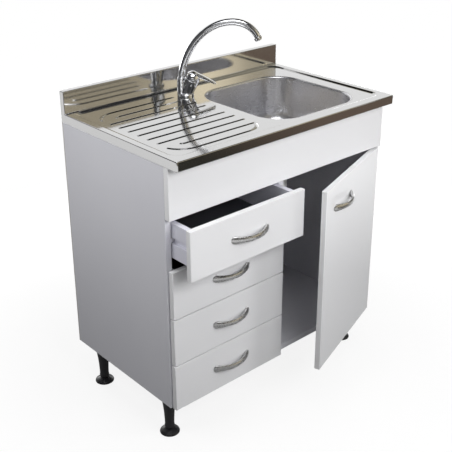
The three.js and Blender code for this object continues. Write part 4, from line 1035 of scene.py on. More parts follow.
aerator_profile = [
    (6.5, 0.3), (10.2, 0.3), (11.2, 1.5), (11.2, 2.2), (11.15, 2.3), (11.15, 8.0), (11.2, 8.1),
    (11.2, 10.2), (10.6, 11.0), (8.4, 11.0), (8.0, 10.6), (8.0, 6.0), (6.5, 5.0), (6.5, 0.3),
]
sieve = [(0, 8.6), (1.2, 8.9), (1.6, 8.3), (2.6, 8.3), (3.0, 8.9), (3.6, 8.9), (4.0, 8.3), (5.0, 8.3)]
sieve += [(5.4, 8.9), (6.0, 8.9), (6.4, 8.3), (7.8, 8.3), (7.8, 6.2), (0, 6.2)]
aerator_shape = moved(gripped(aerator_profile, 144, 36, 0.35, 2.25, 8.05), aerator_frame)
own_piece("spout_aerator", aerator_shape, "spout", chrome, crease=28)
finish(make_piece("aerator_sieve", turned(sieve, 64, aerator_frame)), "spout", runner_plastic)
print("aerator ends at", [round(c, 1) for c in aerator_frame @ Vector((0, 0, 11))])


# %% [markdown]
# ## Shank and fixing nut
#
# Under the deck a threaded shank and a flat nut hold the tap. The thread is a loft whose radius
# follows both the height and the angle, which makes a true screw line instead of stacked rings.

# %% Shank and nut
def threaded(radius, depth, pitch, z0, z1, sides=36, rows_per_turn=6):
    rows = round((z1 - z0) / pitch * rows_per_turn)
    rings = [[(0.0, 0.0, z0)] * sides]
    for k in range(rows + 1):
        z = z0 + (z1 - z0) * k / rows
        ring = []
        for i in range(sides):
            turn = (z / pitch - i / sides) % 1.0
            r = radius - depth * abs(2 * turn - 1)
            ring.append((r * math.cos(2 * math.pi * i / sides), r * math.sin(2 * math.pi * i / sides), z))
        rings.append(ring)
    rings.append([(0.0, 0.0, z1)] * sides)
    return loft(rings)


shank_shape = moved(threaded(16.0, 0.7, 1.5, -52.3, -0.3), tap_frame)
own_piece("tap_shank", shank_shape, "cabinet", zinc_plate, crease=50)
nut_profile = [(16.3, -10.8), (26.2, -10.8), (27.0, -10.0), (27.0, -2.6), (26.2, -1.8)]
nut_profile += [(16.3, -1.8), (16.3, -10.8)]
nut_shape = moved(gripped(nut_profile, 96, 8, 2.6, -10.3, -2.2), tap_frame)
own_piece("tap_fixing_nut", nut_shape, "cabinet", zinc_plate)
print("shank and nut made")


# %% [markdown]
# ## Waste, strainer and trap
#
# A turned flange clamps the bowl's floor against a plastic nut below. A perforated basket hangs in
# the flange's cup. Below the cup a bottle trap is pushed on the tail, and a pipe leads out through
# the back. Turned parts are lofts of circles; the nuts get grip ribs by changing the radius.

# %% Waste flange
WASTE_PLACE = Vector((BOWL_MIDDLE.x, BOWL_MIDDLE.y, field_z - BOWL_DEPTH))
waste_frame = Matrix.Translation(WASTE_PLACE)
flange_profile = [(19, -75), (21, -75), (21, -40.5), (22, -40), (42.2, -40), (43, -39.2)]
flange_profile += [(43, 0.3), (55.2, 0.3)]
flange_profile += fillet(56, 0.6, 54.4, 1.5, 5)
flange_profile += [(48.5, 2.5), (45.5, 2.6), (43.6, 2.3), (42.2, 1.2), (41, -1), (41, -5.6), (40.6, -6)]
flange_profile += [(38, -6), (38, -36), (37, -38), (21, -38.6), (19, -39.8), (19, -75)]
own_piece("waste_flange", turned(flange_profile, 96, waste_frame), "cabinet", polished_steel, crease=40)
print("waste at", [round(c, 1) for c in WASTE_PLACE])


# %% Strainer basket
def points_and_faces(bm):
    """Hands a bmesh over as points and faces."""
    bm.verts.index_update()
    points = [v.co.copy() for v in bm.verts]
    faces = [tuple(v.index for v in f.verts) for f in bm.faces]
    bm.free()
    return points, faces


def perforated_disc(outer, holes, hole_radius, z):
    """A flat disc with round holes in it; holes is a list of centres."""
    bm = bmesh.new()
    edges = new_ring(bm, circle(outer, z, 64))[1]
    for x, y in holes:
        edges += new_ring(bm, [(x + px, y + py, z) for px, py, _ in circle(hole_radius, 0, 14)])[1]
    fill_between(bm, edges)
    return points_and_faces(bm)


def on_rings(*counts_radii_phases):
    centres = []
    for count, radius, phase in counts_radii_phases:
        for i in range(count):
            angle = 2 * math.pi * (i + phase) / count
            centres.append((radius * math.cos(angle), radius * math.sin(angle)))
    return centres


BASKET_TOP = -4.1
BASKET_FLOOR = -32.1
BASKET_SHEET = 0.9
wall_rings = [
    (30, BASKET_FLOOR), (32.4, BASKET_FLOOR + 0.3), (34.9, BASKET_FLOOR + 2.6), (35.6, BASKET_FLOOR + 6),
    (36.4, BASKET_TOP - 3), (36.6, BASKET_TOP - 0.8), (37.6, BASKET_TOP), (39.9, BASKET_TOP),
    (40.7, BASKET_TOP - 0.2),
]
basket = make_piece("strainer_basket", moved(together(
    turned(wall_rings, 64),
    perforated_disc(30, on_rings((8, 21.6, 0), (8, 14.2, 0.5), (6, 8.4, 0)), 2.2, BASKET_FLOOR),
), waste_frame), crease=50)
floor_point = (WASTE_PLACE + Vector((28, 0, BASKET_FLOOR))) * MM
if min(basket.data.polygons, key=lambda f: (f.center - floor_point).length).normal.z < 0:
    basket.data.flip_normals()
finish(sheet_wall(basket, BASKET_SHEET), "strainer", polished_steel, ["strainer_basket"])
knob_profile = [(0, BASKET_FLOOR + 0.2), (5.2, BASKET_FLOOR + 0.2), (4.2, BASKET_FLOOR + 2)]
knob_profile += [(3.6, BASKET_TOP - 4), (4.4, BASKET_TOP - 2.4), (8.2, BASKET_TOP - 0.9)]
knob_profile += fillet(9, BASKET_TOP + 0.6, 5.6, BASKET_TOP + 3.7, 5) + [(0, BASKET_TOP + 4)]
knob = make_piece("strainer_knob", turned(knob_profile, 48, waste_frame), crease=40)
finish(knob, "strainer", polished_steel)
print("basket floor at", round(WASTE_PLACE.z + BASKET_FLOOR, 1))

# %% Nut, trap and pipe
nut_ring = [(43.3, -13.5), (53.2, -13.5), (54.3, -12.6), (54.3, -2.4), (53.2, -1.5)]
nut_ring += [(43.3, -1.5), (43.3, -13.5)]
nut_shape = moved(gripped(nut_ring, 240, 24, 1.4, -12.7, -2.3), waste_frame)
own_piece("waste_nut", nut_shape, "cabinet", pipe_plastic)

trap_low, trap_high = low_high("trap_body")
trap_frame = shifted(BOWL_MIDDLE.x, BOWL_MIDDLE.y, 0)
BOTTLE_FOOT = trap_low.z
BOTTLE_SHOULDER = BOTTLE_FOOT + 84.0
OUTLET_HEIGHT = BOTTLE_SHOULDER - 18.0
neck = trap_high.z
bottle = [(0, BOTTLE_FOOT)] + fillet(24, BOTTLE_FOOT, 31.8, BOTTLE_FOOT + 9, 8, hollow=True)
bottle += fillet(32.1, BOTTLE_SHOULDER - 12, 24.3, BOTTLE_SHOULDER, 8)
bottle += [(24.3, neck - 12), (24.0, neck), (21.4, neck), (21.4, neck - 30), (0, neck - 30)]
cup_ring = [
    (r, BOTTLE_FOOT + z)
    for r, z in ((32.0, 30), (33.0, 30.6), (33.0, 40.4), (32.0, 41), (31, 41), (31, 30), (32.0, 30))
]
union_nut = [
    (r, neck - z)
    for r, z in ((21.4, 17), (28.4, 17), (29.4, 16), (29.4, 3), (28.4, 2), (21.4, 2), (21.4, 17))
]
along_y = shifted(0, 0, OUTLET_HEIGHT) @ rotated(-90, "X")
branch = [(17, 24), (20, 24), (20, 60), (19.6, 73.4), (19, 74), (17, 74), (17, 24)]
branch_nut = [(18, 57), (25, 57), (26, 58), (26, 72.5), (25, 73.6), (18, 73.6), (18, 57)]
trap_shape = together(
    turned(bottle, 72),
    gripped(cup_ring, 288, 36, 1.0, BOTTLE_FOOT + 30.5, BOTTLE_FOOT + 40.5),
    gripped(union_nut, 240, 12, 1.6, neck - 16.5, neck - 2.5),
    turned(branch, 64, along_y),
    moved(gripped(branch_nut, 240, 12, 1.5, 57.5, 73), along_y),
)
own_piece("trap_body", moved(trap_shape, trap_frame), "cabinet", pipe_plastic, crease=38)
pipe_low, pipe_high = low_high("trap_outlet_pipe")
pipe_start = pipe_low.y - BOWL_MIDDLE.y
pipe_end = pipe_high.y - BOWL_MIDDLE.y
pipe = [(14.7, pipe_start), (16.7, pipe_start), (16.7, pipe_end - 1.2)]
pipe += [(16.2, pipe_end), (14.7, pipe_end), (14.7, pipe_start)]
own_piece("trap_outlet_pipe", turned(pipe, 64, trap_frame @ along_y), "cabinet", pipe_plastic, crease=38)
print("trap from", round(BOTTLE_FOOT), "to", round(neck), "mm")


# %% [markdown]
# ## Carcass
#
# The carcass is faced board, sawn square. What tells a board from a box is its edge: every edge is
# eased a little, so it catches the light. Bevelling each board once gives that, and the big faces
# stay flat so that the easing doesn't smear across them.

# %% Boards of the carcass
EASED = 0.6
FASCIA_EASED = 1.0
PANELS = ("side_panel_left", "side_panel_right", "bottom_panel", "divider_panel", "front_rail", "rear_rail")
for panel in PANELS:
    finish(board(panel, *low_high(panel), EASED), "cabinet", melamine, [panel])
fascia = board("fascia_panel", *low_high("fascia_panel"), FASCIA_EASED)
finish(fascia, "cabinet", gloss_white, ["fascia_panel"])

# %% Back panel with its pipe hole
PIPE_HOLE_RADIUS = 24.0
back_low, back_high = low_high("back_panel")


def plate_bmesh(outlines, y0, y1):
    """A flat plate along Y from closed (x, z) outlines: its edge first, then its holes."""
    bm = bmesh.new()
    edges = []
    for outline in outlines:
        edges += new_ring(bm, [(x, y0, z) for x, z in outline])[1]
    fill_between(bm, edges, (0, -1, 0))
    made = bmesh.ops.extrude_face_region(bm, geom=list(bm.faces))["geom"]
    far_side = [g for g in made if isinstance(g, bmesh.types.BMVert)]
    bmesh.ops.translate(bm, vec=(0, y1 - y0, 0), verts=far_side)
    bmesh.ops.recalc_face_normals(bm, faces=bm.faces)
    return bm


def circle_outline(cx, cz, radius):
    return [(cx + x, cz + y) for x, y, _ in circle(radius, 0, 48)]


back_outline = rectangle(back_low.x, back_high.x, back_low.z, back_high.z)
pipe_hole = circle_outline(BOWL_MIDDLE.x, OUTLET_HEIGHT, PIPE_HOLE_RADIUS)
back_bmesh = plate_bmesh([back_outline, pipe_hole], back_low.y, back_high.y)
finish(from_bmesh(back_bmesh, "back_panel", smooth_easing=False), "cabinet", thin_board, ["back_panel"])
print("carcass boards made")


# %% [markdown]
# ## Legs and feet
#
# The legs are moulded: a socket plate screwed under the cabinet, a tapered tube with a collar, and
# a foot on a threaded stud that turns to level the unit. All of it is turned shape.

# %% Legs
pad = [(0, 0), (26.6, 0), (27.8, 0.8), (28, 2.4), (27.2, 4.2), (25, 6.2), (21, 8.8), (16.4, 11.2)]
pad += [(13.6, 12.4), (12.4, 12.8), (12.0, 13.6), (7, 14.0), (4.5, 14.0), (4.5, 14.5), (0, 14.5)]
# A leg's outline from its foot up, and from its top down, as (radius, height) points.
lower = [(0, 46), (5.3, 46), (5.3, 0), (11.6, 0), (13.6, 1.2), (14.1, 3), (14.1, 9), (13.5, 10.2)]
lower += [(13.2, 11), (13.6, 26), (14.6, 48), (16.2, 66), (17.9, 80), (19.5, 90), (19.9, 91.6)]
lower += [(20.9, 92.4), (21.7, 94.6)]
upper = [(21.8, 8.4), (22.2, 7), (22.5, 5), (22.5, 0.6), (22.1, 0), (0, 0)]
for corner in ("front_left", "front_right", "rear_left", "rear_right"):
    leg_low, leg_high = low_high("leg_" + corner)
    middle = (leg_low + leg_high) / 2
    place = shifted(middle.x, middle.y, 0)
    profile = [(r, leg_low.z + z) for r, z in lower] + [(r, leg_high.z - z) for r, z in upper]
    own_piece("leg_" + corner, turned(profile, 64, place), "cabinet", black_plastic, crease=36)
    foot_shape = moved(together(turned(pad, 64), threaded(5.0, 0.5, 1.75, 14.0, 54.0, 24, 5)), place)
    own_piece("foot_" + corner, foot_shape, "foot_" + corner, black_plastic, crease=44)
print("legs and feet made")


# %% [markdown]
# ## Fronts
#
# The door and the drawer fronts are boards wrapped in gloss laminate. The wrap rounds the long
# edges well and the cut ends hardly, so the upright edges get a wider round than the others.

# %% Front board
FRONT_BOARD = 16.0
ROUNDED_EDGE = 2.0
EASED_END = 0.7


def rise_of(edge):
    return abs(edge.verts[0].co.z - edge.verts[1].co.z)


def front_board(name, low, high):
    """A front with rounded upright edges and eased ends, its face towards -Y."""
    bm = new_box(low, high)
    bevel_edges(bm, ROUNDED_EDGE, 6, lambda e: rise_of(e) > 1)
    bevel_edges(bm, EASED_END, 3, lambda e: rise_of(e) < 0.01)
    return from_bmesh(bm, name)


print("front helper ready")


# %% [markdown]
# ## Bow handles
#
# Each handle is a flat bow that widens and thickens into its two feet. It is one loft of oval
# sections along a parabola, and each end closes in a few shrinking sections, so that it is round.

# %% Bow handle
HANDLE_LENGTH = 144.0
HANDLE_REACH = 27.0
HANDLE_WAIST = 15.0
HANDLE_FOOT_EXTRA = 9.0
HANDLE_END_ROUND = 10.0
HANDLE_WELD = 0.01


def bow_handle():
    half_span = HANDLE_LENGTH / 2 - 8.0
    rings = []
    stations = 56
    for i in range(stations + 1):
        t = -math.cos(math.pi * i / stations) * 0.35 + (-1 + 2 * i / stations) * 0.65
        centre = Vector((half_span * t, 4.0 - HANDLE_REACH * (1 - t * t), 0))
        outward = Vector((2 * HANDLE_REACH * t / half_span, -1, 0)).normalized()
        ease = abs(t) ** 3
        rounding = rounded_off(min(1.0, (1 - abs(t)) * half_span / HANDLE_END_ROUND))
        half_width = (HANDLE_WAIST + HANDLE_FOOT_EXTRA * ease) / 2 * max(0.03, rounding)
        half_thickness = 4.0 * (1 + 0.5 * ease) * (0.5 + 0.5 * rounding)
        ring = []
        for out, wide, _ in oval(32, 0.9, 0.8):
            p = centre + half_thickness * out * outward + Vector((0, 0, half_width * wide))
            ring.append(Vector((p.x, min(p.y, -0.3), p.z)))
        rings.append(ring)
    return loft(rings, capped=True)


def add_handle(name, matrix, body):
    handle = make_piece(name, moved(bow_handle(), matrix), crease=40, weld=HANDLE_WELD)
    finish(handle, body, satin_nickel, [name])


print("handle spans", HANDLE_LENGTH, "mm")


# %% [markdown]
# ## Drawers
#
# A drawer is a front, two grooved sides, a back and a thin bottom let into them. The side's section
# with its groove is drawn once and drawn out to the drawer's length, which is how such profiles are
# really milled. The runners on the cabinet wall slide in the grooves.

# %% Profiles drawn out along Y
def eased_prism(name, sections, edge):
    """Prisms along Y from (x, z) sections, all their sharp edges eased; big faces stay flat."""
    bm = in_bmesh([
        loft([[(x, y, z) for x, z in section] for y in (y0, y1)], capped=True)
        for section, y0, y1 in sections
    ])
    bevel_edges(bm, edge, 2, lambda e: sharper(e, 0.6), clamp_overlap=True)
    return from_bmesh(bm, name)


SIDE_BOARD = 15.0
GROOVE_DEPTH = 9.0
GROOVE_HALF = 8.5
BACK_GAP = 0.4
FLANGE_SHEET = 1.7
FLANGE_HEIGHT = 3.0


def side_section(x_out, x_in, z0, z1):
    """Section of a drawer side; x_out is its outer face, where the runner's groove is."""
    middle = (z0 + z1) / 2
    groove = x_out + math.copysign(GROOVE_DEPTH, x_in - x_out)
    high, low = middle + GROOVE_HALF, middle - GROOVE_HALF
    return [
        (x_out, z0), (x_in, z0), (x_in, z1), (x_out, z1),
        (x_out, high), (groove, high), (groove, low), (x_out, low),
    ]


def runner_section(x_wall, x_tip, z0, z1):
    """Section of a runner: a flat flange on the wall and a rail that the groove rides on."""
    x = x_wall + math.copysign(FLANGE_SHEET, x_tip - x_wall)
    low, high = z0 + FLANGE_HEIGHT, z1 - FLANGE_HEIGHT
    return [(x_wall, z0), (x, z0), (x, low), (x_tip, low), (x_tip, high), (x, high), (x, z1), (x_wall, z1)]


print("sections ready")

# %% Drawers and runners
for number in range(1, 5):
    body = f"drawer_{number}"
    front_low, front_high = low_high(f"{body}_front")
    finish(front_board(f"{body}_front", front_low, front_high), body, gloss_white, [f"{body}_front"])

    box_low, box_high = low_high(f"{body}_box")
    inner_left, inner_right = box_low.x + SIDE_BOARD, box_high.x - SIDE_BOARD
    back_section = rectangle(
        inner_left + 0.05, inner_right - 0.05, box_low.z + BACK_GAP, box_high.z - BACK_GAP)
    box = eased_prism(f"{body}_box", [
        (side_section(box_low.x, inner_left, box_low.z, box_high.z), box_low.y, box_high.y),
        (side_section(box_high.x, inner_right, box_low.z, box_high.z), box_low.y, box_high.y),
        (back_section, box_high.y - SIDE_BOARD, box_high.y - BACK_GAP),
    ], 0.5)
    finish(box, body, drawer_foil, [f"{body}_box"])
    # The bottom's near-black finish is painted shade for the dark inside of the drawer.
    bottom = board(f"{body}_bottom", *low_high(f"{body}_bottom"), 0.3)
    finish(bottom, body, grey_board, [f"{body}_bottom"])

    handle_low, handle_high = low_high(f"{body}_handle")
    handle_middle = (handle_low + handle_high) / 2
    add_handle(f"{body}_handle", shifted(handle_middle.x, front_low.y, handle_middle.z), body)

    for runner in (f"runner_{number}_left", f"runner_{number}_right"):
        run_low, run_high = low_high(runner)
        wall, tip = (run_low.x, run_high.x) if runner.endswith("left") else (run_high.x, run_low.x)
        section = runner_section(wall, tip, run_low.z, run_high.z)
        rail = eased_prism(runner, [(section, run_low.y, run_high.y)], 0.35)
        finish(rail, "cabinet", runner_plastic, [runner])
print("drawers made")


# %% [markdown]
# ## Door and hinges
#
# The door stands ajar, turned about its hinge pins. Its pieces are made in the door's own frame,
# as if it were closed, and then turned about the pins. Each hinge has a cup sunk in the door, with
# a flange and two screws, and a crooked arm on a plate that is screwed to the side panel.

# %% Door
door_joint = next(j for j in frame["joints"] if j["name"] == "door_hinge")
print({k: door_joint[k] for k in door_joint if k in ("axis", "pos_m", "range_deg", "parent", "child")})
DOOR_OPEN = 19.4
DOOR_WIDTH = 392.5
PIN_FROM_EDGE = 8.0
PIN_DEPTH = 10.7
CUP_RADIUS = 17.5
CUP_MIDDLE = PIN_FROM_EDGE - 3.0 - CUP_RADIUS
CUP_BORE_DEPTH = 14.6
HANDLE_INSET = 118.0
HANDLE_DROP = 68.0
pin_place = Vector([c / MM for c in door_joint["pos_m"]])
door_low, door_high = low_high("door_panel")
door_foot = door_low.z
door_height = door_high.z - door_foot
door_frame = shifted(pin_place.x, pin_place.y, door_foot) @ rotated(DOOR_OPEN, "Z")
door_free_edge = PIN_FROM_EDGE - DOOR_WIDTH
HINGE_HEIGHTS = (95.0, door_height - 95.0)
lying = rotated(-90, "X")

door_face = PIN_DEPTH - FRONT_BOARD
door = front_board("door_panel", (door_free_edge, door_face, 0), (PIN_FROM_EDGE, PIN_DEPTH, door_height))
bore_floor, bore_mouth = PIN_DEPTH - CUP_BORE_DEPTH, PIN_DEPTH + 4
bore = [(0, bore_floor), (CUP_RADIUS, bore_floor), (CUP_RADIUS, bore_mouth), (0, bore_mouth)]
door = cut_away(door, [turned(bore, 64, shifted(CUP_MIDDLE, 0, z) @ lying) for z in HINGE_HEIGHTS])
door.data.transform(Matrix.Translation(door_frame.translation * MM) @ door_frame.to_3x3().to_4x4())
finish(door, "door", gloss_white, ["door_panel"])
handle_x, handle_z = door_free_edge + HANDLE_INSET, door_height - HANDLE_DROP
door_handle_place = door_frame @ shifted(handle_x, door_face, handle_z)
add_handle("door_handle", door_handle_place, "door")
print("door handle at", [round(c) for c in door_handle_place.translation])

# %% Hinge cups
FLANGE_HALF = (15.6, 24.0)
FLANGE_CORNER = 8.0
FLANGE_BORE = 15.0
FLANGE_TOP = PIN_DEPTH + 1.5
PIN_HALF = 10.4


def plate(outlines, y0, y1):
    return points_and_faces(plate_bmesh(outlines, y0, y1))


def rounded_outline(cx, cz, half_x, half_z, radius, corner_steps=8):
    return [(p.x, p.y) for p in rounded_ring(cx, cz, half_x, half_z, radius, 0, corner_steps, 3)]


cup_floor = PIN_DEPTH - 14.2
cup = [(0, cup_floor)] + fillet(14.6, cup_floor, 17.2, cup_floor + 2.6, 5, hollow=True)
cup += [(17.2, PIN_DEPTH + 0.6), (16.2, PIN_DEPTH + 1.2)]
cup += [(16.2, cup_floor + 3), (14.4, cup_floor + 1), (0, cup_floor + 1)]
for which, z in zip(("lower", "upper"), HINGE_HEIGHTS):
    flange = plate([
        rounded_outline(CUP_MIDDLE, z, *FLANGE_HALF, FLANGE_CORNER),
        circle_outline(CUP_MIDDLE, z, FLANGE_BORE),
    ], PIN_DEPTH + 0.3, FLANGE_TOP)
    pin = turned([(0, z - PIN_HALF), (1.2, z - PIN_HALF), (1.2, z + PIN_HALF), (0, z + PIN_HALF)], 20)
    shape = together(turned(cup, 64, shifted(CUP_MIDDLE, 0, z) @ lying), flange, pin)
    own_piece("hinge_cup_" + which, moved(shape, door_frame), "door", zinc_plate, crease=40)
print("hinge cups made")

# %% Hinge arms
PLATE_SETBACK = 30.0
PLATE_LENGTH = 54.0
WINGS_SETBACK = 37.0
ARM_HALF_SHEET = 1.1
WALL_OFFSET = 8.4
WALL_HALF_SHEET = 0.6
carcass_front = low_high("side_panel_right")[0].y
arm_x1 = low_high("hinge_arm_upper")[1].x
neck_x = pin_place.x - 18.0
pin_y = pin_place.y
plate_y0 = carcass_front + PLATE_SETBACK
plate_y1 = plate_y0 + PLATE_LENGTH
# The arm's middle line with the sheet's half height, as (y, x, half height).
arm_line = [
    (plate_y1 - 2, neck_x + 5.5, 7.0), (plate_y1 - 14, neck_x + 1.5, 8.6),
    (plate_y0 + 18, neck_x + 0.6, 9.0), (plate_y0, neck_x + 0.4, 9.0),
    (carcass_front + 19, neck_x + 0.2, 8.6), (carcass_front + 9, neck_x, 6.6), (pin_y + 6, neck_x, 5.5),
    (pin_y + 1.6, neck_x + 0.2, 5.5), (pin_y, neck_x + 1.6, 5.5),
]
# The plates are drawn in their own plane, as (-y, z), and stand on the side panel.
on_side_panel = Matrix(((0, -1, 0, arm_x1), (-1, 0, 0, 0), (0, 0, 1, 0), (0, 0, 0, 1)))
for which, height in zip(("lower", "upper"), HINGE_HEIGHTS):
    z = door_foot + height
    base = plate([rounded_outline(-(plate_y0 + plate_y1) / 2, z, PLATE_LENGTH / 2, 9.0, 4.0, 6)], 0.0, 2.0)
    wings = plate([rounded_outline(-(plate_y0 + WINGS_SETBACK), z, 9.0, 23.0, 6.0)], 0.0, 1.9)
    arm_rings = []
    for y, x, half in arm_line:
        x0, x1 = x - ARM_HALF_SHEET, x + ARM_HALF_SHEET
        arm_rings.append([(x0, y, z - half), (x1, y, z - half), (x1, y, z + half), (x0, y, z + half)])
    finger = box_shape((neck_x - 1.1, pin_y - 1.6, z - 4.0), (pin_place.x - 1.4, pin_y + 0.3, z + 4.0))
    walls = []
    for wall_z in (z - WALL_OFFSET, z + WALL_OFFSET):
        walls.append(box_shape(
            (neck_x + 0.4, carcass_front + 14, wall_z - WALL_HALF_SHEET),
            (arm_x1 - 1.9, plate_y1 - 4, wall_z + WALL_HALF_SHEET)))
    eye = [(1.5, -5.5), (2.2, -5.5), (2.2, 5.5), (1.5, 5.5), (1.5, -5.5)]
    shape = together(
        moved(base, on_side_panel), moved(wings, on_side_panel), loft(arm_rings, capped=True), finger,
        *walls, turned(eye, 24, shifted(pin_place.x, pin_y, z)))
    own_piece("hinge_arm_" + which, shape, "cabinet", zinc_plate, crease=40)
print("hinge arms made")


# %% [markdown]
# ## Screws and nails
#
# Small fasteners repeat all over the unit: screws in the hinges and runners, screws behind the
# handles and nails round the back panel. Each place is a point that knows its direction and size.
# One Geometry Nodes tree puts a head on every point and turns it along that direction.

# %% Screw head and nail head
def unit_head(name, profile, sides, crease):
    """A head of radius 1 m that stands on z = 0; the tree scales it down."""
    return make_piece(name, turned(profile, sides, Matrix.Scale(1 / MM, 4)), crease)


def screw_head():
    """A pan head with a cross slot."""
    profile = [(0, -0.5), (0.98, -0.5), (1.0, 0.0), (0.96, 0.16), (0.82, 0.3), (0.55, 0.4), (0, 0.44)]
    slots = []
    for long, wide in ((0.62, 0.11), (0.11, 0.62)):
        slots.append(moved(box_shape((-long, -wide, 0.12), (long, wide, 1.0)), Matrix.Scale(1 / MM, 4)))
    return creased(cut_away(unit_head("screw_head", profile, 20, 30), slots), 30)


def fastener_tree():
    tree, given, result = new_tree("heads_on_points", Head="Object", Spin="Float", Finish="Material")
    shape = fed(tree, "GeometryNodeObjectInfo", {"Object": given.outputs["Head"]})
    facing = put(node(tree, "GeometryNodeInputNamedAttribute", data_type="FLOAT_VECTOR"), Name="facing")
    size = put(node(tree, "GeometryNodeInputNamedAttribute", data_type="FLOAT"), Name="head_radius")
    turn = fed(tree, "FunctionNodeAlignRotationToVector", {"Vector": facing.outputs["Attribute"]}, axis="Z")
    # Each head turns about its own axis by an angle of its own, so that the slots don't line up.
    spin = node(tree, "FunctionNodeRandomValue", data_type="FLOAT")
    spin_low, spin_high = [s for s in spin.inputs if s.type == "VALUE" and s.name in ("Min", "Max")]
    spin_low.default_value = 0.0
    tree.links.new(given.outputs["Spin"], spin_high)
    put(spin, Seed=4)
    spin_value = next(s for s in spin.outputs if s.type == "VALUE")
    euler = fed(tree, "ShaderNodeCombineXYZ", {"Z": spin_value})
    own = fed(tree, "FunctionNodeEulerToRotation", {"Euler": euler.outputs["Vector"]})
    spun = fed(tree, "FunctionNodeRotateRotation", {
        "Rotation": turn.outputs["Rotation"], "Rotate By": own.outputs["Rotation"]}, rotation_space="LOCAL")
    placed = fed(tree, "GeometryNodeInstanceOnPoints", {
        "Points": given.outputs["Geometry"], "Instance": shape.outputs["Geometry"],
        "Rotation": spun.outputs["Rotation"], "Scale": size.outputs["Attribute"]})
    return hand_over(tree, given, result, placed.outputs["Instances"])


screw = screw_head()
nail = unit_head("nail_head", [(0, -0.4), (0.98, -0.4), (1.0, 0.1), (0.8, 0.26), (0, 0.34)], 16, 40)
heads_on_points = fastener_tree()
print("fastener tree has", len(heads_on_points.nodes), "nodes")


# %% Place the fasteners
RUNNER_SCREW = 3.4
HINGE_SCREW = 3.6
ARM_SCREW = 3.0
HANDLE_SCREW = 4.0
CUP_SCREW = 2.9
NAIL = 1.7
NAIL_INSET = 9.0
NAIL_BAYS = 6
HANDLE_SCREW_OFFSET = 60.0
BACKWARDS = (0, 1, 0)


def fasteners(name, head, places, body):
    """Heads at (point in mm, direction, radius in mm), as one plain mesh on one body."""
    mesh = bpy.data.meshes.new(name + "_points")
    mesh.from_pydata([Vector(p) * MM for p, _, _ in places], [], [])
    facing = mesh.attributes.new("facing", "FLOAT_VECTOR", "POINT")
    facing.data.foreach_set("vector", [c for _, direction, _ in places for c in direction])
    size = mesh.attributes.new("head_radius", "FLOAT", "POINT")
    size.data.foreach_set("value", [radius * MM for _, _, radius in places])
    points = in_scene(name + "_points", mesh)
    made = plain_mesh(name, points, heads_on_points, {"Head": head, "Spin": 3.0, "Finish": zinc_plate})
    finish(creased(made, 30), body, zinc_plate)
    print(name, len(places))


cabinet_places = []
for number in range(1, 5):
    for side, inward in (("left", 1), ("right", -1)):
        run_low, run_high = low_high(f"runner_{number}_{side}")
        face = run_high.x if inward > 0 else run_low.x
        for share in (0.06, 0.5, 0.94):
            y = run_low.y + (run_high.y - run_low.y) * share
            place = (face - inward * 1.2, y, (run_low.z + run_high.z) / 2)
            cabinet_places.append((place, (inward, 0, 0), RUNNER_SCREW))
for height in HINGE_HEIGHTS:
    z = door_foot + height
    for place, radius in (
        ((arm_x1 - 1.9, plate_y0 + WINGS_SETBACK, z - 16.0), HINGE_SCREW),
        ((arm_x1 - 1.9, plate_y0 + WINGS_SETBACK, z + 16.0), HINGE_SCREW),
        ((neck_x - 0.4, plate_y0 + 10, z), ARM_SCREW),
        ((neck_x + 0.6, plate_y0 + 36, z), HINGE_SCREW),
    ):
        cabinet_places.append((place, (-1, 0, 0), radius))
fasteners("cabinet_screws", screw, cabinet_places, "cabinet")

for number in range(1, 5):
    rear = low_high(f"drawer_{number}_front")[1].y
    handle_low, handle_high = low_high(f"drawer_{number}_handle")
    middle = (handle_low + handle_high) / 2
    behind = []
    for offset in (-HANDLE_SCREW_OFFSET, HANDLE_SCREW_OFFSET):
        behind.append(((middle.x + offset, rear, middle.z), BACKWARDS, HANDLE_SCREW))
    fasteners(f"drawer_{number}_screws", screw, behind, f"drawer_{number}")

door_rear = door_frame.to_3x3() @ Vector(BACKWARDS)
door_places = []
for offset in (-HANDLE_SCREW_OFFSET, HANDLE_SCREW_OFFSET):
    place = Vector((handle_x + offset, PIN_DEPTH, handle_z))
    door_places.append((door_frame @ place, door_rear, HANDLE_SCREW))
for height in HINGE_HEIGHTS:
    for offset in (-19.6, 19.6):
        place = Vector((CUP_MIDDLE, FLANGE_TOP, height + offset))
        door_places.append((door_frame @ place, door_rear, CUP_SCREW))
fasteners("door_screws", screw, door_places, "door")

nail_low = back_low + Vector((NAIL_INSET, 0, NAIL_INSET))
nail_high = back_high - Vector((NAIL_INSET, 0, NAIL_INSET))
nail_places = []
for i in range(NAIL_BAYS + 1):
    x = nail_low.x + (nail_high.x - nail_low.x) * i / NAIL_BAYS
    nail_places += [((x, back_high.y, z), BACKWARDS, NAIL) for z in (nail_low.z, nail_high.z)]
for i in range(1, NAIL_BAYS):
    z = nail_low.z + (nail_high.z - nail_low.z) * i / NAIL_BAYS
    nail_places += [((x, back_high.y, z), BACKWARDS, NAIL) for x in (nail_low.x, nail_high.x, 0.0)]
fasteners("back_nails", nail, nail_places, "cabinet")
for head in (screw, nail):
    bpy.data.objects.remove(head)


# %% [markdown]
# ## Light, floor and background
#
# The photograph was taken on white paper with a broad soft light in front, a little above the
# worktop, so nothing throws a hard shadow and upright faces fall off towards the floor. The world is
# white where the camera or a mirror looks at it, but gives only weak light of its own.

# %% World
scene = bpy.context.scene
scene.view_settings.view_transform = "Standard"
AMBIENT = 0.11
WHITE = (1.0, 1.0, 1.0, 1.0)

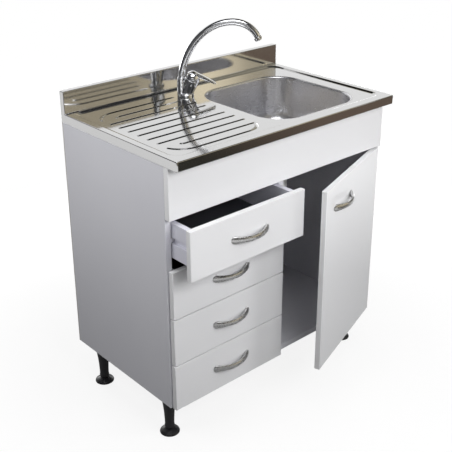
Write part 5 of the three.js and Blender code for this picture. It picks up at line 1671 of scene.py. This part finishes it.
world = bpy.data.worlds.new("studio")
scene.world = world
world.use_nodes = True
tree = world.node_tree
background = put(tree.nodes["Background"], Color=WHITE)
ray = tree.nodes.new("ShaderNodeLightPath").outputs
seen = maths(tree, "MAXIMUM", ray["Is Camera Ray"], ray["Is Glossy Ray"])
seen = maths(tree, "MAXIMUM", seen, ray["Is Transmission Ray"])
tree.links.new(ranged(tree, seen, AMBIENT, 1.0, 0.0, 1.0), background.inputs["Strength"])
print("world gives", AMBIENT, "of white")


# %% [markdown]
# ## Floor
#
# The floor is matt paper that takes the unit's shadow. It glows by itself just enough to be white:
# less near the unit, where the lamps help and the shadow must show, and fully further out. A mirror
# sees its glow dimmed near the unit, a painted shadow, and white further out.

# %% Floor
FLOOR_HALF = 6.0


def stage_plane(name, corners, plane_finish):
    data = bpy.data.meshes.new(name)
    data.from_pydata(corners, [], [(0, 1, 2, 3)])
    data.materials.append(plane_finish)
    plane = in_scene(name, data)
    return plane


def level_corners(x0, x1, y0, y1, z):
    return [(x0, y0, z), (x1, y0, z), (x1, y1, z), (x0, y1, z)]


def away_from(tree, middle=(0, 0, 0)):
    """Distance on the surface from a point."""
    where = tree.nodes.new("ShaderNodeTexCoord")
    distance = tree.nodes.new("ShaderNodeVectorMath")
    distance.operation = "DISTANCE"
    distance.inputs[1].default_value = middle
    tree.links.new(where.outputs["Object"], distance.inputs[0])
    return distance.outputs["Value"]


floor_finish, tree, shader = new_finish(
    "studio_paper", (0.16, 0.16, 0.16), 0.9, Specular_IOR_Level=0.0, Emission_Color=WHITE)
distance = away_from(tree)
ray = tree.nodes.new("ShaderNodeLightPath").outputs
plain = maths(tree, "MULTIPLY", ranged(tree, distance, 0.84, 0.98, 0.6, 2.0), ray["Is Camera Ray"])
# Seen in mirrors the glow drops near the unit: a painted shadow under it.
mirrored = maths(tree, "MULTIPLY", ranged(tree, distance, 0.12, 0.85, 0.9, 1.9), ray["Is Glossy Ray"])
tree.links.new(maths(tree, "MAXIMUM", plain, mirrored), shader.inputs["Emission Strength"])
floor_corners = level_corners(-FLOOR_HALF, FLOOR_HALF, -FLOOR_HALF, FLOOR_HALF, 0)
stage_plane("studio_floor", floor_corners, floor_finish)
print("floor", 2 * FLOOR_HALF, "m square")


# %% [markdown]
# ## Cards for the mirrors
#
# Polished steel and chrome only look like metal when they have something to mirror. The paper ended
# in front of the unit, the room on the camera's side was a warm dim beige with one light card, and
# the ceiling and the far right were dark. Each is a card that only mirrors see: it casts no shadow,
# gives no light, and the camera looks through it.

# %% Reflection cards
def card(name, corners, colour):
    """A plane that glows in one colour; returns its node tree and shader."""
    card_finish, tree, shader = new_finish(
        name + "_colour", (0.0, 0.0, 0.0), 0.9,
        Specular_IOR_Level=0.0, Emission_Color=(*colour, 1.0), Emission_Strength=1.0)
    plane = stage_plane(name, corners, card_finish)
    plane.visible_camera = False
    plane.visible_diffuse = False
    plane.visible_shadow = False
    return tree, shader


def upright_card(name, x0, x1, y0, y1, z0, z1, colour):
    return card(name, [(x0, y0, z0), (x1, y1, z0), (x1, y1, z1), (x0, y0, z1)], colour)


def level_card(name, x0, x1, y0, y1, z, colour):
    return card(name, level_corners(x0, x1, y0, y1, z), colour)


def fades_along_x(tree, shader, near, far, reach):
    """The card's colour runs from near to far between two distances along X."""
    where = tree.nodes.new("ShaderNodeTexCoord")
    axes = fed(tree, "ShaderNodeSeparateXYZ", {"Vector": where.outputs["Object"]})
    tinted(tree, shader, ranged(tree, axes.outputs["X"], 0.0, 1.0, *reach), near, far, "Emission Color")


def soft_spot(tree, shader, middle, reach, strength):
    """A spot on the card that is brighter than the rest and fades out at its reach."""
    glow = ranged(tree, away_from(tree, middle), strength, 1.0, 0.05, reach)
    tree.links.new(glow, shader.inputs["Emission Strength"])


BEIGE = (0.60, 0.53, 0.39)
DIM = (0.07, 0.065, 0.055)
DARK = (0.012, 0.012, 0.012)
SHADED_PAPER = (0.035, 0.033, 0.027)
room = upright_card("room_card", -6.0, 3.4, -2.7, -2.7, 0.0, 2.5, BEIGE)
fades_along_x(*room, DIM, BEIGE, (-0.6, 1.1))
soft_spot(*room, (2.6, -2.7, 2.0), 0.6, 2.6)
upright_card("right_card", 3.3, 3.3, -2.4, 0.7, 0.0, 2.5, (0.07, 0.07, 0.07))
level_card("ceiling_card", -6.0, 1.5, -2.7, 1.72, 2.55, (0.06, 0.06, 0.062))
level_card("ceiling_dark_card", -0.6, 1.5, 0.0, 1.65, 2.5, DARK)
upright_card("camera_side_card", -0.9, -2.0, -1.75, -1.05, 1.2, 1.5, (1.2, 1.2, 1.22))
level_card("ceiling_right_card", 1.5, 4.0, -2.7, 2.2, 2.5, (0.40, 0.37, 0.29))
upright_card("left_card", -4.5, -4.5, -2.7, 0.8, 0.0, 2.5, (0.10, 0.10, 0.105))
upright_card("far_left_card", -4.5, -1.8, 0.8, 4.6, 0.4, 4.5, (0.05, 0.05, 0.055))
paper_end = level_card("paper_end_card", 0.8, 4.5, -2.7, -1.0, 0.002, DARK)
fades_along_x(*paper_end, SHADED_PAPER, (0.16, 0.12, 0.095), (1.1, 2.0))
paper_side = level_card("paper_side_card", 0.2, 0.8, -2.7, -1.0, 0.002, DARK)
fades_along_x(*paper_side, (0.75, 0.75, 0.75), SHADED_PAPER, (0.3, 0.8))
level_card("overhead_card", -1.4, 0.1, -1.4, 0.0, 2.4, (1.5, 1.5, 1.52))
print("cards placed")


# %% [markdown]
# ## Lamps
#
# One broad box in front lights the fronts, a smaller one on the left lights the side, one low on the
# right fills in, and a weak one overhead gives the bowl and the tap their bright spots. Mirrors see
# only the cards instead of the first three. Two low ones behind keep the back and the right side
# readable; they stay below the worktop, so that its mirror can't see them.

# %% Lamps
def area_lamp(name, place, target, width, height, power, mirrored=True):
    data = bpy.data.lights.new(name, "AREA")
    data.shape = "RECTANGLE"
    data.size = width
    data.size_y = height
    data.energy = power
    lamp = in_scene(name, data)
    lamp.location = place
    lamp.rotation_euler = (Vector(target) - Vector(place)).to_track_quat("-Z", "Y").to_euler()
    lamp.visible_camera = False
    lamp.visible_glossy = mirrored


area_lamp("front_box", (-0.05, -1.5, 1.45), (0.02, -0.1, 0.72), 1.6, 0.7, 20.0, mirrored=False)
area_lamp("left_box", (-1.3, 0.1, 1.45), (-0.4, 0.0, 0.7), 0.9, 0.6, 8.5, mirrored=False)
area_lamp("far_right", (2.1, -2.1, 0.85), (0.1, -0.2, 0.45), 0.6, 0.6, 20.0, mirrored=False)
area_lamp("overhead", (-0.4, -0.6, 2.3), (0.0, 0.0, 0.8), 1.2, 0.8, 8.0)
area_lamp("behind", (0.2, 1.7, 0.6), (0.0, 0.2, 0.5), 1.2, 0.7, 12.0)
area_lamp("behind_right", (1.6, 0.6, 0.6), (0.4, 0.1, 0.5), 0.9, 0.7, 8.0)


# %% [markdown]
# ## Last update
#
# The last cell brings the view layer up to date.

# %% Last update
bpy.context.view_layer.update()
